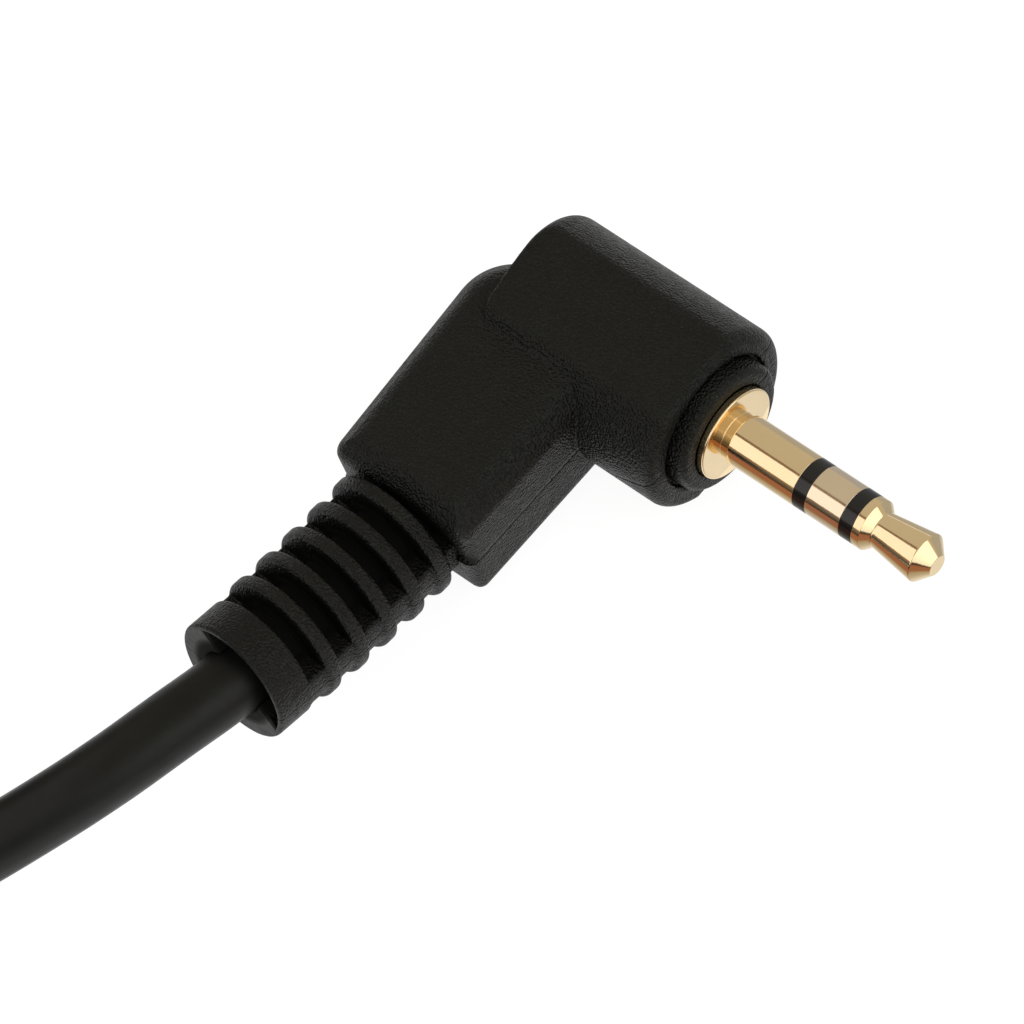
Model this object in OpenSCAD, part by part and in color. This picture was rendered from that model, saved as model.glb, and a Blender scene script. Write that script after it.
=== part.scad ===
// Wired shutter release: a handset with a two-stage release button and a lock slider, its cord,
// and a right-angle three-pole 2.5 mm plug. Millimetres, +Z up.
// Origin: centre of the handset's underside. The handset lies along Y and its cord leaves the +Y end.
// The plug lies on the same surface. Its pin points along +X and its arm comes in along +Y.

/* [Handset case] */
// Length of the case, end to end
case_l = 62; // [56:1:80]
// Width of the case, which is also the diameter of its round ends
case_w = 26; // [24:0.5:34]
// Height of the closed case
case_h = 17; // [14:0.5:22]
// Thickness of the side walls
wall_t = 1.6; // [1.3:0.1:2.2]
// Thickness of the floor
floor_t = 1.6; // [1.2:0.1:2.4]
// Thickness of the roof that carries the button and the slider
roof_t = 1.8; // [1.5:0.1:2.4]
// Radius of the long top edge
top_edge_r = 4; // [3:0.25:5]
// Radius of the long bottom edge
bottom_edge_r = 3; // [2.5:0.25:4]
// Height of the parting line above the underside
split_z = 8.5; // [7:0.25:10]
// Height of the tongue on the bottom shell that locates the top shell
tongue_h = 1.2; // [0.8:0.1:1.8]
// Thickness of that tongue
tongue_t = 0.7; // [0.5:0.05:0.9]

/* [Release button] */
// Diameter of the button
button_d = 13.6; // [11:0.2:14.5]
// Height that the button stands proud of the case
button_proud = 2; // [1.4:0.1:3]
// Full travel of the button
button_travel = 1.8; // [1.5:0.1:2.2]
// Gap between the button and its hole, on each side
button_gap = 0.2; // [0.15:0.05:0.3]
// Distance from the case's button end to the button's axis
button_inset = 15; // [14:0.5:18]
// Width of the lip that keeps the button in the case
lip_w = 2; // [1.4:0.1:2.2]
// Thickness of that lip
lip_t = 0.7; // [0.5:0.05:0.8]
// Length of the post under the button
post_l = 4.4; // [3.8:0.1:5]
// Diameter of that post
post_d = 4; // [3:0.25:5]

/* [Lock slider] */
// Width of the thumb pad
pad_w = 9; // [7:0.5:12]
// Length of the thumb pad along its travel
pad_l = 7.5; // [6.5:0.5:10]
// Height of the thumb pad above the case
pad_h = 1.5; // [1:0.1:2.2]
// Travel of the slider towards the button
slider_travel = 2.2; // [1.6:0.1:2.4]
// Number of grip ridges on the pad
pad_ridges = 4; // [3:1:5]

/* [Contacts] */
// Thickness of each contact leaf
leaf_t = 0.3; // [0.2:0.05:0.4]
// Width of each contact leaf
leaf_w = 5; // [4:0.25:6]
// Gap that closes between one contact and the next
contact_gap = 0.6; // [0.4:0.05:0.7]
// Height of a contact point above its leaf
contact_h = 0.25; // [0.15:0.05:0.35]

/* [Cord] */
// Diameter of the cord
cord_d = 3.2; // [2.8:0.1:3.6]
// Gap between neighbouring turns of the coil, sideways and upwards
turn_gap = 0.5; // [0.5:0.05:1]
// Radius of the coil's outermost turn
coil_r = 23; // [22:0.5:26]
// Turns in the coil
coil_turns = 5.403; // [5.403:1:7.403]

/* [Plug body] */
// Distance from the pin's axis to the arm's rear face
arm_l = 11.65; // [10:0.25:14]
// Width of the arm at its rear face
arm_w = 7.7; // [7:0.1:9]
// Width that the arm gains between its rear face and the pin's axis
arm_flare = 0.8; // [0:0.1:1]
// Thickness of the arm
arm_h = 6.8; // [6.4:0.1:7.4]
// Width of the bevel along each long edge of the arm
arm_bevel = 0.95; // [0.5:0.05:1.2]
// Diameter of the round head about the pin's axis
head_d = 9.05; // [8.45:0.1:10]
// Thickness of the head between its flats
head_h = 7.7; // [7.4:0.1:8.4]
// Distance from the pin's axis crossing to the back of the head
head_back = 2.6; // [2.2:0.1:3.5]
// Distance from the pin's axis crossing to the front of the head
head_front = 8.6; // [7.6:0.1:10]
// Diameter of the boss round the jack's flange
boss_d = 6.4; // [5.8:0.1:7]

/* [Plug strain relief] */
// Number of ribs
rib_count = 5; // [4:1:6]
// Thickness of a rib
rib_t = 0.75; // [0.6:0.05:1]
// Distance from rib to rib
rib_pitch = 1.7; // [1.5:0.05:2]
// Diameter over the ribs
rib_d = 6.6; // [6:0.1:7]
// Diameter of the core between the ribs
rib_core_d = 4.4; // [4.2:0.1:5]
// Length of the plain collar at the cord's end
collar_l = 1.85; // [1.6:0.05:3]
// Radius of the gentle bend that the relief has taken
relief_bend_r = 90; // [60:5:160]
// Angle at which the relief leaves the arm, in degrees
relief_tilt = 6; // [0:0.5:7]
// Direction of that bend round the arm's axis, in degrees: 0 is level and 90 is straight up
relief_roll = 73; // [0:1:90]

/* [Jack] */
// Diameter of the jack's pin
jack_d = 2.5; // [2.5:0.1:3.5]
// Diameter of the flange behind the pin
flange_d = 4.6; // [4.2:0.1:5]
// Thickness of the flange
flange_t = 0.4; // [0.3:0.05:0.6]
// Length of the narrow neck between the flange and the sleeve contact
neck_l = 0.45; // [0.3:0.05:0.6]
// Length of the sleeve contact
sleeve_l = 3.78; // [3.4:0.05:4.2]
// Length of each black insulating ring
insulator_l = 0.7; // [0.5:0.05:0.9]
// Length of the ring contact
ring_l = 1.94; // [1.6:0.05:2.2]
// Length of the tip contact
tip_l = 3.93; // [3.6:0.05:4.3]

/* [Plug position] */
// Distance along X from the handset's centre to the arm's axis
plug_x = 87.5; // [85:0.5:95]
// Distance along Y from the handset's centre to the pin's axis
plug_y = 42; // [40:0.5:46]

/* [Hidden] */

eps = 0.01;
// Clearance round a part that is fixed in its seat
fit = 0.02;
// Clearance round a part that moves, or between shells
play = 0.1;
fine = 96;
medium = 48;

// ---- Handset heights, from the roof down
roof_z = case_h - roof_t;
lip_top = roof_z - play;
lip_bottom = lip_top - lip_t;
nose_gap = 0.2;
nose_top = lip_bottom - nose_gap;
nose_bottom = lip_top - button_travel + nose_gap;
post_bottom = lip_bottom - post_l;
post_to_leaf = 0.2;
leaf_step = leaf_t + 2 * contact_h + contact_gap;
common_z = post_bottom - post_to_leaf - leaf_t;
focus_z = common_z - leaf_step;
shutter_z = focus_z - leaf_step;
clamp_plate_t = 0.8;

// ---- Handset places, along Y
end_r = case_w / 2;
button_y = -case_l / 2 + button_inset;
button_r = button_d / 2;
lip_r = button_r + lip_w;
nose_rest_y = button_y + lip_r + 0.5;
slider_y = nose_rest_y + 7;
stem_l = 3;
stem_w = 4;
slider_plate_l = 8;
slider_plate_w = 8;
slot_l = stem_l + slider_travel + 2 * play;
leaf_tip_y = button_y - 2;
leaf_clamp_y = button_y + 18;
leaf_clamp_l = 7.5;
leaf_end_y = leaf_clamp_y + leaf_clamp_l;
tail_l = 3.5;
tail_w = 1.2;
tail_x = [-1.7, 0, 1.7];
base_w = 11;
stack_screw_x = 0;
stack_screw_d = 1.6;
stack_screw_y = [leaf_clamp_y + 2, leaf_clamp_y + 5.5];
case_screw_d = 2;
case_boss_r = 2.2;
case_screw_at = [
  [0, -case_l / 2 + wall_t + case_boss_r - 0.1],
  [-case_w / 2 + wall_t + case_boss_r + 1, leaf_end_y - 1],
  [case_w / 2 - wall_t - case_boss_r - 1, leaf_end_y - 1]
];
cord_r = cord_d / 2;
turn_pitch = cord_d + turn_gap;
wire_r = 0.35;
wire_colours = ["red", "white", "black"];
exit_z = split_z;
exit_boss_r = 4.6;
exit_boss_l = 0.7;
exit_y = case_l / 2 + exit_boss_l;
boot_neck_r = 2.9;
boot_flange_r = 4.1;
boot_flange_t = 1.6;
boot_seat_y = case_l / 2 - 1.4;
boot_l = 15;
boot_end_y = exit_y + play + boot_l;
mouth_r = cord_r + 0.5;
mouth_l = 1.2;
clamp_y = case_l / 2 - 10;
clamp_w = 14;
clamp_l = 4;
clamp_t = 1.5;
clamp_screw_x = 4.6;
clamp_screw_d = 1.6;
clamp_head_d = 2.8;
clamp_head_t = 1;
clamp_screw_reach = 3.6;
clamp_top = exit_z + cord_r + clamp_t;
cord_inner_y = clamp_y - 4;

// ---- Plug, in its own axes: pin along +X, arm from -Y, pin axis at the origin
head_r = head_d / 2;
plug_z = head_h / 2;
jack_r = jack_d / 2;
boss_l = 0.75;
boss_face = head_front + boss_l;
flange_sink = 0.05;
flange_back = boss_face - flange_sink;
flange_face = flange_back + flange_t;
sleeve_start = flange_face + neck_l;
sleeve_end = sleeve_start + sleeve_l;
ring_start = sleeve_end + insulator_l;
ring_end = ring_start + ring_l;
tip_start = ring_end + insulator_l;
tip_end = tip_start + tip_l;
rod_r = 0.38;
layer_t = 0.17;
tip_ins_in = rod_r + eps;
tip_ins_out = tip_ins_in + layer_t;
ring_in = tip_ins_out + eps;
ring_out = ring_in + layer_t;
ring_ins_in = ring_out + eps;
ring_ins_out = ring_ins_in + layer_t;
sleeve_in = ring_ins_out + eps;
neck_r = jack_r - 0.25;
barrel_r = 1.6;
barrel_back = 2.3;
mould_r = 2.9;
mould_back = barrel_back + 0.6;
mould_front = head_front - 1;
chamber_back = -1.2;
wire_chamber_r = 2.6;
jacket_front = -arm_l + 4.6;

// ---- Strain relief of the plug, along an arc that starts at its tilt to the arm
relief_gap = 0.57;
relief_l = relief_gap + rib_count * rib_pitch + collar_l;
relief_root = 0.4;
root_r = rib_core_d / 2 + 0.3;
relief_angle = arc_angle(relief_l);
bell_l = 1.3;
bell_r = cord_r + 0.3;
bell_rise = 0.5;
cord_start_angle = arc_angle(relief_l - bell_l);

function arc_angle(s) = 180 * s / (PI * relief_bend_r);

// Turns a direction in the bend's own plane, where the arm's axis is y, into the plug's axes
function from_bend(x, y) = [x * cos(relief_roll), y, -x * sin(relief_roll)];

// Direction along the relief at an angle round its bend's centre, in the plug's axes
function relief_heading(angle) = from_bend(-sin(angle + relief_tilt), -cos(angle + relief_tilt));

function relief_point(angle) = [0, -arm_l, 0] + relief_bend_r * from_bend(
  cos(angle + relief_tilt) - cos(relief_tilt), sin(relief_tilt) - sin(angle + relief_tilt));

// ---- Cord routes
stretch_sides = 8;
coil_sides = 6;
coil_rings = 24;
coil_centre = [51, 1];
coil_start_angle = -35;
layer_turns = coil_turns / 2;
coil_inner_r = coil_r - turn_pitch * layer_turns;
// From the coil's top layer down to the surface, round, and up into the handset's boot
handset_route = [
  [28, 8, 5.3], [28, 13, 4.8], [28, 18, 3.6], [28, 23, 2.4], [28, 29, 1.7], [28, 36, 1.6],
  [28, 44, 1.6], [28, 51, 1.6], [27.3, 56, 1.6], [25.3, 61, 1.6], [21.7, 65, 1.7], [17, 67.2, 2],
  [12, 67.2, 2.6], [7, 65.4, 3.6], [3.1, 61.6, 5.2], [0.8, 57, 6.8], [0, 52, 8.1]
];
// From the plug's relief down to the surface and on to the coil's bottom layer
plug_route = [
  [86, 16.2, 5.5], [84.8, 13, 5], [82.9, 9.4, 3.9], [80.4, 5.3, 2.5], [77.6, 0.6, 1.7], [74.7, -4.4, 1.6]
];

// ======== Helpers

function unit(v) = v / norm(v);

// Direction of a path at point i
function heading(p, i) =
  unit(p[min(i + 1, len(p) - 1)] - p[max(i - 1, 0)]);

// Points of one ring round a path, square to it, with a flat side below where flat is true
function ring(p, i, r, sides, flat, d) =
  let(side = unit(cross(d, [0, 0, 1])), up = cross(side, d), turn = flat ? 180 / sides : 0)
  [for (k = [0 : sides - 1])
    p[i] + r * (cos(360 * k / sides + turn) * side + sin(360 * k / sides + turn) * up)];

// One closed tube along a path. The end rings are square to first and last.
module tube(path, r, sides, flat, first, last) {
  n = len(path);
  dirs = [for (i = [0 : n - 1]) i == 0 ? first : i == n - 1 ? last : heading(path, i)];
  points = [for (i = [0 : n - 1]) each ring(path, i, r, sides, flat, dirs[i])];
  walls = [for (i = [0 : n - 2], k = [0 : sides - 1])
    let(a = i * sides + k, b = i * sides + (k + 1) % sides, c = a + sides, d = b + sides)
    each [[a, b, c], [b, d, c]]];
  start_cap = [for (k = [1 : sides - 2]) [0, k + 1, k]];
  end_cap = [for (k = [1 : sides - 2]) [(n - 1) * sides, (n - 1) * sides + k, (n - 1) * sides + k + 1]];
  polyhedron(points, concat(walls, start_cap, end_cap));
}

// Rectangle from x = -hw to hw and from z = 0 to h, with round corners of two radii
module bar_section(hw, h, rt, rb) {
  difference() {
    translate([-hw, 0]) square([2 * hw, h]);
    for (m = [0, 1]) mirror([m, 0]) {
      translate([hw - rt, h - rt]) difference() {
        square([rt + 1, rt + 1]);
        circle(r = rt, $fn = fine);
      }
      translate([hw - rb, -1]) difference() {
        square([rb + 1, rb + 1]);
        translate([0, rb + 1]) circle(r = rb, $fn = fine);
      }
    }
  }
}

module bar_half_section(hw, h, rt, rb) {
  intersection() {
    bar_section(hw, h, rt, rb);
    square([hw + 1, h]);
  }
}

// Bar with half-round ends in plan, and edges of radius rt above and rb below
module round_ended_bar(l, w, h, rt, rb) {
  straight = l - w;
  rotate([90, 0, 0]) translate([0, 0, -straight / 2])
    linear_extrude(straight) bar_section(w / 2, h, rt, rb);
  for (m = [0, 1]) mirror([0, m, 0]) translate([0, straight / 2, 0])
    rotate_extrude(angle = 180, $fn = fine) bar_half_section(w / 2, h, rt, rb);
}

module stadium(l, w) {
  square([w, l - w], center = true);
  for (s = [-1, 1]) translate([0, s * (l - w) / 2]) circle(d = w, $fn = fine);
}

module rounded_rectangle(w, l, r) {
  square([w - 2 * r, l], center = true);
  square([w, l - 2 * r], center = true);
  for (x = [-1, 1], y = [-1, 1]) translate([x * (w / 2 - r), y * (l / 2 - r)]) circle(r = r, $fn = medium);
}

// Cylinder along +Y from y0 to y1
module rod_y(r, y0, y1, n = medium) {
  translate([0, y0, 0]) rotate([-90, 0, 0]) cylinder(r = r, h = y1 - y0, $fn = n);
}

// Cylinder along +X from x0 to x1
module rod_x(r, x0, x1, n = medium) {
  translate([x0, 0, 0]) rotate([0, 90, 0]) cylinder(r = r, h = x1 - x0, $fn = n);
}

module box_y(w, y0, y1, z0, z1) {
  translate([-w / 2, y0, z0]) cube([w, y1 - y0, z1 - z0]);
}

// Pan-head screw along +Z, its head at the bottom, with a cross slot
module screw_up(d, shank, head_d, head_t) {
  difference() {
    union() {
      cylinder(d = head_d, h = head_t, $fn = medium);
      cylinder(d = d, h = head_t + shank, $fn = medium);
    }
    for (a = [0, 90]) rotate([0, 0, a])
      translate([-head_d * 0.32, -head_d * 0.07, -eps]) cube([head_d * 0.64, head_d * 0.14, head_t * 0.55]);
  }
}

module at_plug() {
  translate([plug_x, plug_y, plug_z]) children();
}

// ======== Handset case

module case_outer() {
  round_ended_bar(case_l, case_w, case_h, top_edge_r, bottom_edge_r);
  translate([0, 0, exit_z]) rod_y(exit_boss_r, case_l / 2 - 4, exit_y, fine);
}

module case_hollow() {
  translate([0, 0, floor_t])
    round_ended_bar(case_l - 2 * wall_t, case_w - 2 * wall_t, roof_z - floor_t,
      top_edge_r - wall_t, bottom_edge_r - wall_t);
}

// Seat of the boot: its neck through the wall and its flange inside
module boot_seat() {
  translate([0, 0, exit_z]) {
    rod_y(boot_neck_r + fit, boot_seat_y - 4, exit_y + 1);
    rod_y(boot_flange_r + fit, boot_seat_y - boot_flange_t - play - 1, boot_seat_y);
  }
}

// Block inside the end wall that holds the boot's flange
module boot_block(z0, z1) {
  intersection() {
    case_outer();
    box_y(2 * boot_flange_r + 3, boot_seat_y - boot_flange_t - play, case_l / 2 - wall_t + 0.6, z0, z1);
  }
}

counterbore_r = 2;
counterbore_l = 2.2;

module case_bottom() {
  color("#1d1d1f") difference() {
    union() {
      difference() {
        intersection() {
          case_outer();
          box_y(case_w + 2, -case_l, case_l, -1, split_z);
        }
        case_hollow();
      }
      // Tongue that locates the top shell
      translate([0, 0, split_z - 1]) linear_extrude(1 + tongue_h) difference() {
        stadium(case_l - 2 * (wall_t - tongue_t), case_w - 2 * (wall_t - tongue_t));
        stadium(case_l - 2 * wall_t, case_w - 2 * wall_t);
      }
      for (p = case_screw_at) translate([p[0], p[1], floor_t - 0.5])
        cylinder(r = case_boss_r, h = split_z - play - floor_t + 0.5, $fn = medium);
      boot_block(floor_t - 0.5, split_z);
      // Saddle under the cord clamp
      box_y(clamp_w, clamp_y - clamp_l / 2, clamp_y + clamp_l / 2, floor_t - 0.5, exit_z - 0.3);
    }
    boot_seat();
    translate([0, 0, exit_z]) rod_y(cord_r + fit, clamp_y - clamp_l, clamp_y + clamp_l);
    for (s = [-1, 1]) translate([s * clamp_screw_x, clamp_y, exit_z - clamp_screw_reach - 0.6])
      cylinder(d = clamp_screw_d + 2 * fit, h = clamp_screw_reach + 2, $fn = medium);
    for (p = case_screw_at) translate([p[0], p[1], -1]) {
      cylinder(r = counterbore_r + play, h = 1 + counterbore_l, $fn = medium);
      cylinder(d = case_screw_d + 0.3, h = split_z + 2, $fn = medium);
    }
  }
}

dish_r = button_r + button_gap + 2.2;
dish_depth = 0.4;
track_depth = 0.4;
track_w = pad_w + 2;
track_l = pad_l + slider_travel + 1.4;

module case_top() {
  color("#1d1d1f") difference() {
    union() {
      difference() {
        intersection() {
          case_outer();
          box_y(case_w + 2, -case_l, case_l, split_z, case_h + 1);
        }
        case_hollow();
      }
      intersection() {
        for (p = case_screw_at) translate([p[0], p[1], split_z])
          cylinder(r = case_boss_r, h = roof_z - split_z + 0.5, $fn = medium);
        case_outer();
      }
      boot_block(split_z, split_z + boot_flange_r + 1.4);
    }
    // Rebate for the tongue
    translate([0, 0, split_z - 1]) linear_extrude(1 + tongue_h + play)
      difference() {
        stadium(case_l - 2 * (wall_t - tongue_t - play), case_w - 2 * (wall_t - tongue_t - play));
        stadium(case_l - 2 * wall_t - 2, case_w - 2 * wall_t - 2);
      }
    boot_seat();
    translate([0, button_y, roof_z - 1]) cylinder(r = button_r + button_gap, h = 9, $fn = fine);
    translate([0, button_y, case_h - dish_depth]) cylinder(r = dish_r, h = 2, $fn = fine);
    // Slot and shallow track of the lock slider
    translate([-stem_w / 2 - play, slider_y - stem_l / 2 - slider_travel - play, roof_z - 1])
      cube([stem_w + 2 * play, slot_l, 9]);
    translate([0, slider_y - slider_travel / 2, case_h - track_depth])
      linear_extrude(2) rounded_rectangle(track_w, track_l, 2.3);
    for (p = case_screw_at) translate([p[0], p[1], split_z - 1])
      cylinder(d = case_screw_d + 2 * fit, h = roof_z - split_z, $fn = medium);
  }
}

module case_screws() {
  color("#2a2a2c") for (p = case_screw_at)
    translate([p[0], p[1], counterbore_l - 1.4])
      screw_up(case_screw_d, roof_z - counterbore_l - 2.2, 2 * counterbore_r - 0.3, 1.4);
}

// ======== Button and lock

module release_button() {
  top = case_h + button_proud;
  bowl_r = 24;
  bowl_depth = 0.55;
  color("#8d8f93") translate([0, button_y, 0]) {
    difference() {
      union() {
        cylinder(r = button_r, h = top - 0.6, $fn = fine);
        cylinder(r = button_r - 0.6, h = top, $fn = fine);
        translate([0, 0, top - 0.6]) rotate_extrude($fn = fine)
          translate([button_r - 0.6, 0]) intersection() {
            circle(r = 0.6, $fn = medium);
            square(1);
          }
      }
      translate([0, 0, -1]) cylinder(r = button_r + 1, h = lip_bottom + 1, $fn = fine);
      translate([0, 0, top + bowl_r - bowl_depth]) sphere(r = bowl_r, $fn = fine);
      // Hollow underside round the post
      translate([0, 0, lip_bottom - 1]) difference() {
        cylinder(r = button_r - 1.5, h = 1 + roof_t + 0.4, $fn = fine);
        cylinder(d = post_d, h = 5, $fn = medium);
      }
    }
    difference() {
      translate([0, 0, lip_bottom]) cylinder(r = lip_r, h = lip_t, $fn = fine);
      translate([0, 0, lip_bottom - 1]) cylinder(r = button_r - 0.5, h = 3, $fn = fine);
    }
    translate([0, 0, post_bottom]) cylinder(d = post_d, h = post_l + 1, $fn = medium);
  }
}

module lock_slider() {
  pad_top = case_h - track_depth + play + pad_h;
  ridge_pitch = pad_l / (pad_ridges + 1);
  groove_w = 0.5 * ridge_pitch;
  groove_depth = 0.5;
  color("#2b2c30") difference() {
    union() {
      translate([0, slider_y, pad_top - pad_h]) linear_extrude(pad_h) rounded_rectangle(pad_w, pad_l, 1.6);
      box_at(stem_w, stem_l, nose_bottom + 0.2, case_h);
      box_at(slider_plate_w, slider_plate_l, nose_bottom, roof_z - play);
      // Nose that goes over the pressed button's lip, or under the raised one
      translate([-3, nose_rest_y, nose_bottom]) cube([6, slider_y - nose_rest_y, nose_top - nose_bottom]);
    }
    for (i = [0 : pad_ridges])
      translate([-pad_w, slider_y + (i - pad_ridges / 2) * ridge_pitch - groove_w / 2, pad_top - groove_depth])
        cube([2 * pad_w, groove_w, 2]);
    // Room for the nose to pass the button's lip
    translate([0, button_y, nose_top]) cylinder(r = lip_r + slider_travel + 0.3, h = roof_z - nose_top, $fn = fine);
  }
}

module box_at(w, l, z0, z1) {
  translate([-w / 2, slider_y - l / 2, z0]) cube([w, l, z1 - z0]);
}

// ======== Contacts

module contact_base() {
  color("#d8d2c4") difference() {
    union() {
      box_y(base_w, button_y - 4, leaf_clamp_y, floor_t, shutter_z - contact_gap - 0.3);
      box_y(base_w, leaf_clamp_y, leaf_end_y, floor_t, shutter_z);
    }
    for (y = stack_screw_y) translate([stack_screw_x, y, shutter_z - 2.2])
      cylinder(d = stack_screw_d + 2 * fit, h = 4, $fn = medium);
  }
}

// A contact leaf at height z, with a solder tail and contact points above and below
module leaf(z, tail, above, below) {
  difference() {
    union() {
      box_y(leaf_w, leaf_tip_y, leaf_end_y, z, z + leaf_t);
      translate([tail, 0, 0]) box_y(tail_w, leaf_end_y - 1, leaf_end_y + tail_l, z, z + leaf_t);
      if (above) translate([0, button_y, z + leaf_t - eps]) cylinder(r = 0.9, h = contact_h + eps, $fn = medium);
      if (below) translate([0, button_y, z - contact_h]) cylinder(r = 0.9, h = contact_h + eps, $fn = medium);
    }
    for (y = stack_screw_y) translate([stack_screw_x, y, z - 1])
      cylinder(d = stack_screw_d + 2 * fit, h = 3, $fn = medium);
  }
}

module shutter_leaf() {
  color("#c9a35a") leaf(shutter_z, tail_x[0], true, false);
}

module focus_leaf() {
  color("#c9a35a") leaf(focus_z, tail_x[1], true, true);
}

module common_leaf() {
  color("#c9a35a") leaf(common_z, tail_x[2], false, true);
}

module stack_block(z0, z1) {
  difference() {
    box_y(leaf_w + 2, leaf_clamp_y, leaf_end_y, z0, z1);
    for (y = stack_screw_y) translate([stack_screw_x, y, z0 - 1])
      cylinder(d = stack_screw_d + 2 * fit, h = z1 - z0 + 2, $fn = medium);
  }
}

module leaf_spacers() {
  color("#a5552a") {
    stack_block(shutter_z + leaf_t, focus_z);
    stack_block(focus_z + leaf_t, common_z);
  }
}

module leaf_clamp_plate() {
  color("#b8bcc2") stack_block(common_z + leaf_t, common_z + leaf_t + clamp_plate_t);
}

module leaf_screws() {
  plate_top = common_z + leaf_t + clamp_plate_t;
  color("#b8bcc2") for (y = stack_screw_y)
    translate([stack_screw_x, y, plate_top + 1]) mirror([0, 0, 1])
      screw_up(stack_screw_d, plate_top - shutter_z + 2, 2.8, 1);
}

// ======== Cord entry of the handset

module cord_clamp() {
  color("#b8bcc2") difference() {
    box_y(clamp_w, clamp_y - clamp_l / 2, clamp_y + clamp_l / 2, exit_z + 0.3, clamp_top);
    translate([0, 0, exit_z]) rod_y(cord_r + fit, clamp_y - clamp_l, clamp_y + clamp_l);
    for (s = [-1, 1]) translate([s * clamp_screw_x, clamp_y, exit_z - 1]) {
      cylinder(d = clamp_screw_d + 2 * fit, h = clamp_top - exit_z + 2, $fn = medium);
      // Counterbore for the screw's head
      translate([0, 0, clamp_top - clamp_head_t - exit_z + 1])
        cylinder(d = clamp_head_d + 2 * play, h = clamp_head_t + 1, $fn = medium);
    }
  }
}

module cord_clamp_screws() {
  color("#b8bcc2") for (s = [-1, 1]) translate([s * clamp_screw_x, clamp_y, clamp_top]) mirror([0, 0, 1])
    screw_up(clamp_screw_d, clamp_top - clamp_head_t - exit_z + clamp_screw_reach, clamp_head_d, clamp_head_t);
}

module handset_strain_relief() {
  boot_ribs = 5;
  boot_rib_t = 0.9;
  boot_pitch = 2.1;
  y0 = exit_y + play;
  color("#161617") translate([0, 0, exit_z]) difference() {
    union() {
      rod_y(boot_flange_r, boot_seat_y - boot_flange_t, boot_seat_y, fine);
      rod_y(boot_neck_r, boot_seat_y - eps, y0 + 1, fine);
      rod_y(3.9, y0, y0 + 1.4, fine);
      for (i = [1 : boot_ribs])
        translate([0, y0 + 1.4 + (i - 1) * boot_pitch + boot_pitch - boot_rib_t, 0])
          rotate([-90, 0, 0]) cylinder(r = 3.7 - 0.16 * i, h = boot_rib_t, $fn = fine);
      rod_y(2.35, y0, boot_end_y - 1, fine);
      rod_y(2.8, boot_end_y - 2.4, boot_end_y, fine);
    }
    rod_y(cord_r + fit, boot_seat_y - boot_flange_t - 1, boot_end_y + 1);
    rod_y(mouth_r, boot_end_y - mouth_l, boot_end_y + 1);
  }
}

module cord_end_handset() {
  color("#17171a") translate([0, 0, exit_z]) rod_y(cord_r, cord_inner_y, boot_end_y - mouth_l);
}

solder_l = 1.2;
solder_h = 0.7;
function tail_end(i) =
  [tail_x[i], leaf_end_y + tail_l, [shutter_z, focus_z, common_z][i] + leaf_t + solder_h / 2];

module handset_wires() {
  for (i = [0 : 2]) {
    start = [(i - 1) * 1.05, cord_inner_y, exit_z];
    end = tail_end(i);
    color(wire_colours[i])
      tube([start, start - [0, 0.8, 0], end + [0, 0.8, 0], end], wire_r, 6, false, [0, -1, 0], [0, -1, 0]);
  }
}

module handset_solder() {
  color("#c4c6c9") for (i = [0 : 2]) {
    e = tail_end(i);
    translate([e[0] - tail_w / 2, e[1] - solder_l, e[2] - solder_h / 2]) cube([tail_w, solder_l, solder_h]);
  }
}

// ======== Cord

// Point of the coil at a share of its turning, from the plug's side on the bottom layer, in to the
// middle, up a layer while it reverses, and out again on top
function coil_point(turn) =
  let(
    away = abs(turn - layer_turns),
    blend = 0.08,
    r = coil_inner_r + turn_pitch * (away < blend ? (away * away / blend + blend) / 2 : away),
    climb = min(1, max(0, (turn - layer_turns) * 2 + 0.5)),
    lift = climb * climb * (3 - 2 * climb),
    angle = coil_start_angle - 360 * turn
  )
  [coil_centre[0] + r * cos(angle), coil_centre[1] + r * sin(angle), cord_r + turn_pitch * lift];

function coil_heading(turn) = let(angle = coil_start_angle - 360 * turn) [sin(angle), -cos(angle), 0];

coil_steps = ceil(coil_turns * coil_rings);
coil_curve = [for (i = [0 : coil_steps]) coil_point(coil_turns * i / coil_steps)];
coil_entry = coil_curve[0] - cord_d * coil_heading(0);
coil_leave = coil_curve[coil_steps] + cord_d * coil_heading(coil_turns);
coil_path = concat([coil_entry], coil_curve, [coil_leave]);

// Least distance between points of the coil that are over half a turn apart, less the diameter
coil_gap = min([for (i = [0 : 2 : coil_steps], j = [i + coil_rings / 2 : coil_steps])
  norm(coil_curve[i] - coil_curve[j])]) - cord_d;
echo(least_gap_between_turns = coil_gap);

module cord_coil() {
  color("#17171a") tube(coil_path, cord_r, coil_sides, false, coil_heading(0), coil_heading(coil_turns));
}

module cord_handset_side() {
  last = [0, boot_end_y - mouth_l, exit_z];
  color("#17171a") tube(concat([coil_leave], handset_route, [last + [0, cord_d, 0], last]),
    cord_r, stretch_sides, true, coil_heading(coil_turns), [0, -1, 0]);
}

module cord_plug_side() {
  start = [plug_x, plug_y, plug_z] + relief_point(cord_start_angle);
  color("#17171a") tube(
    concat([start, start + cord_d * relief_heading(cord_start_angle)], plug_route, [coil_entry]),
    cord_r, stretch_sides, true, relief_heading(cord_start_angle), coil_heading(0));
}

// ======== Plug

arm_end_y = 0.9;
arm_rear_bevel = 0.75;
arm_far_bevel = 1.9;
flare_angle = atan(arm_flare / 2 / arm_l);

function arm_half_w(y) = arm_w / 2 + tan(flare_angle) * (y + arm_l);

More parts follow.
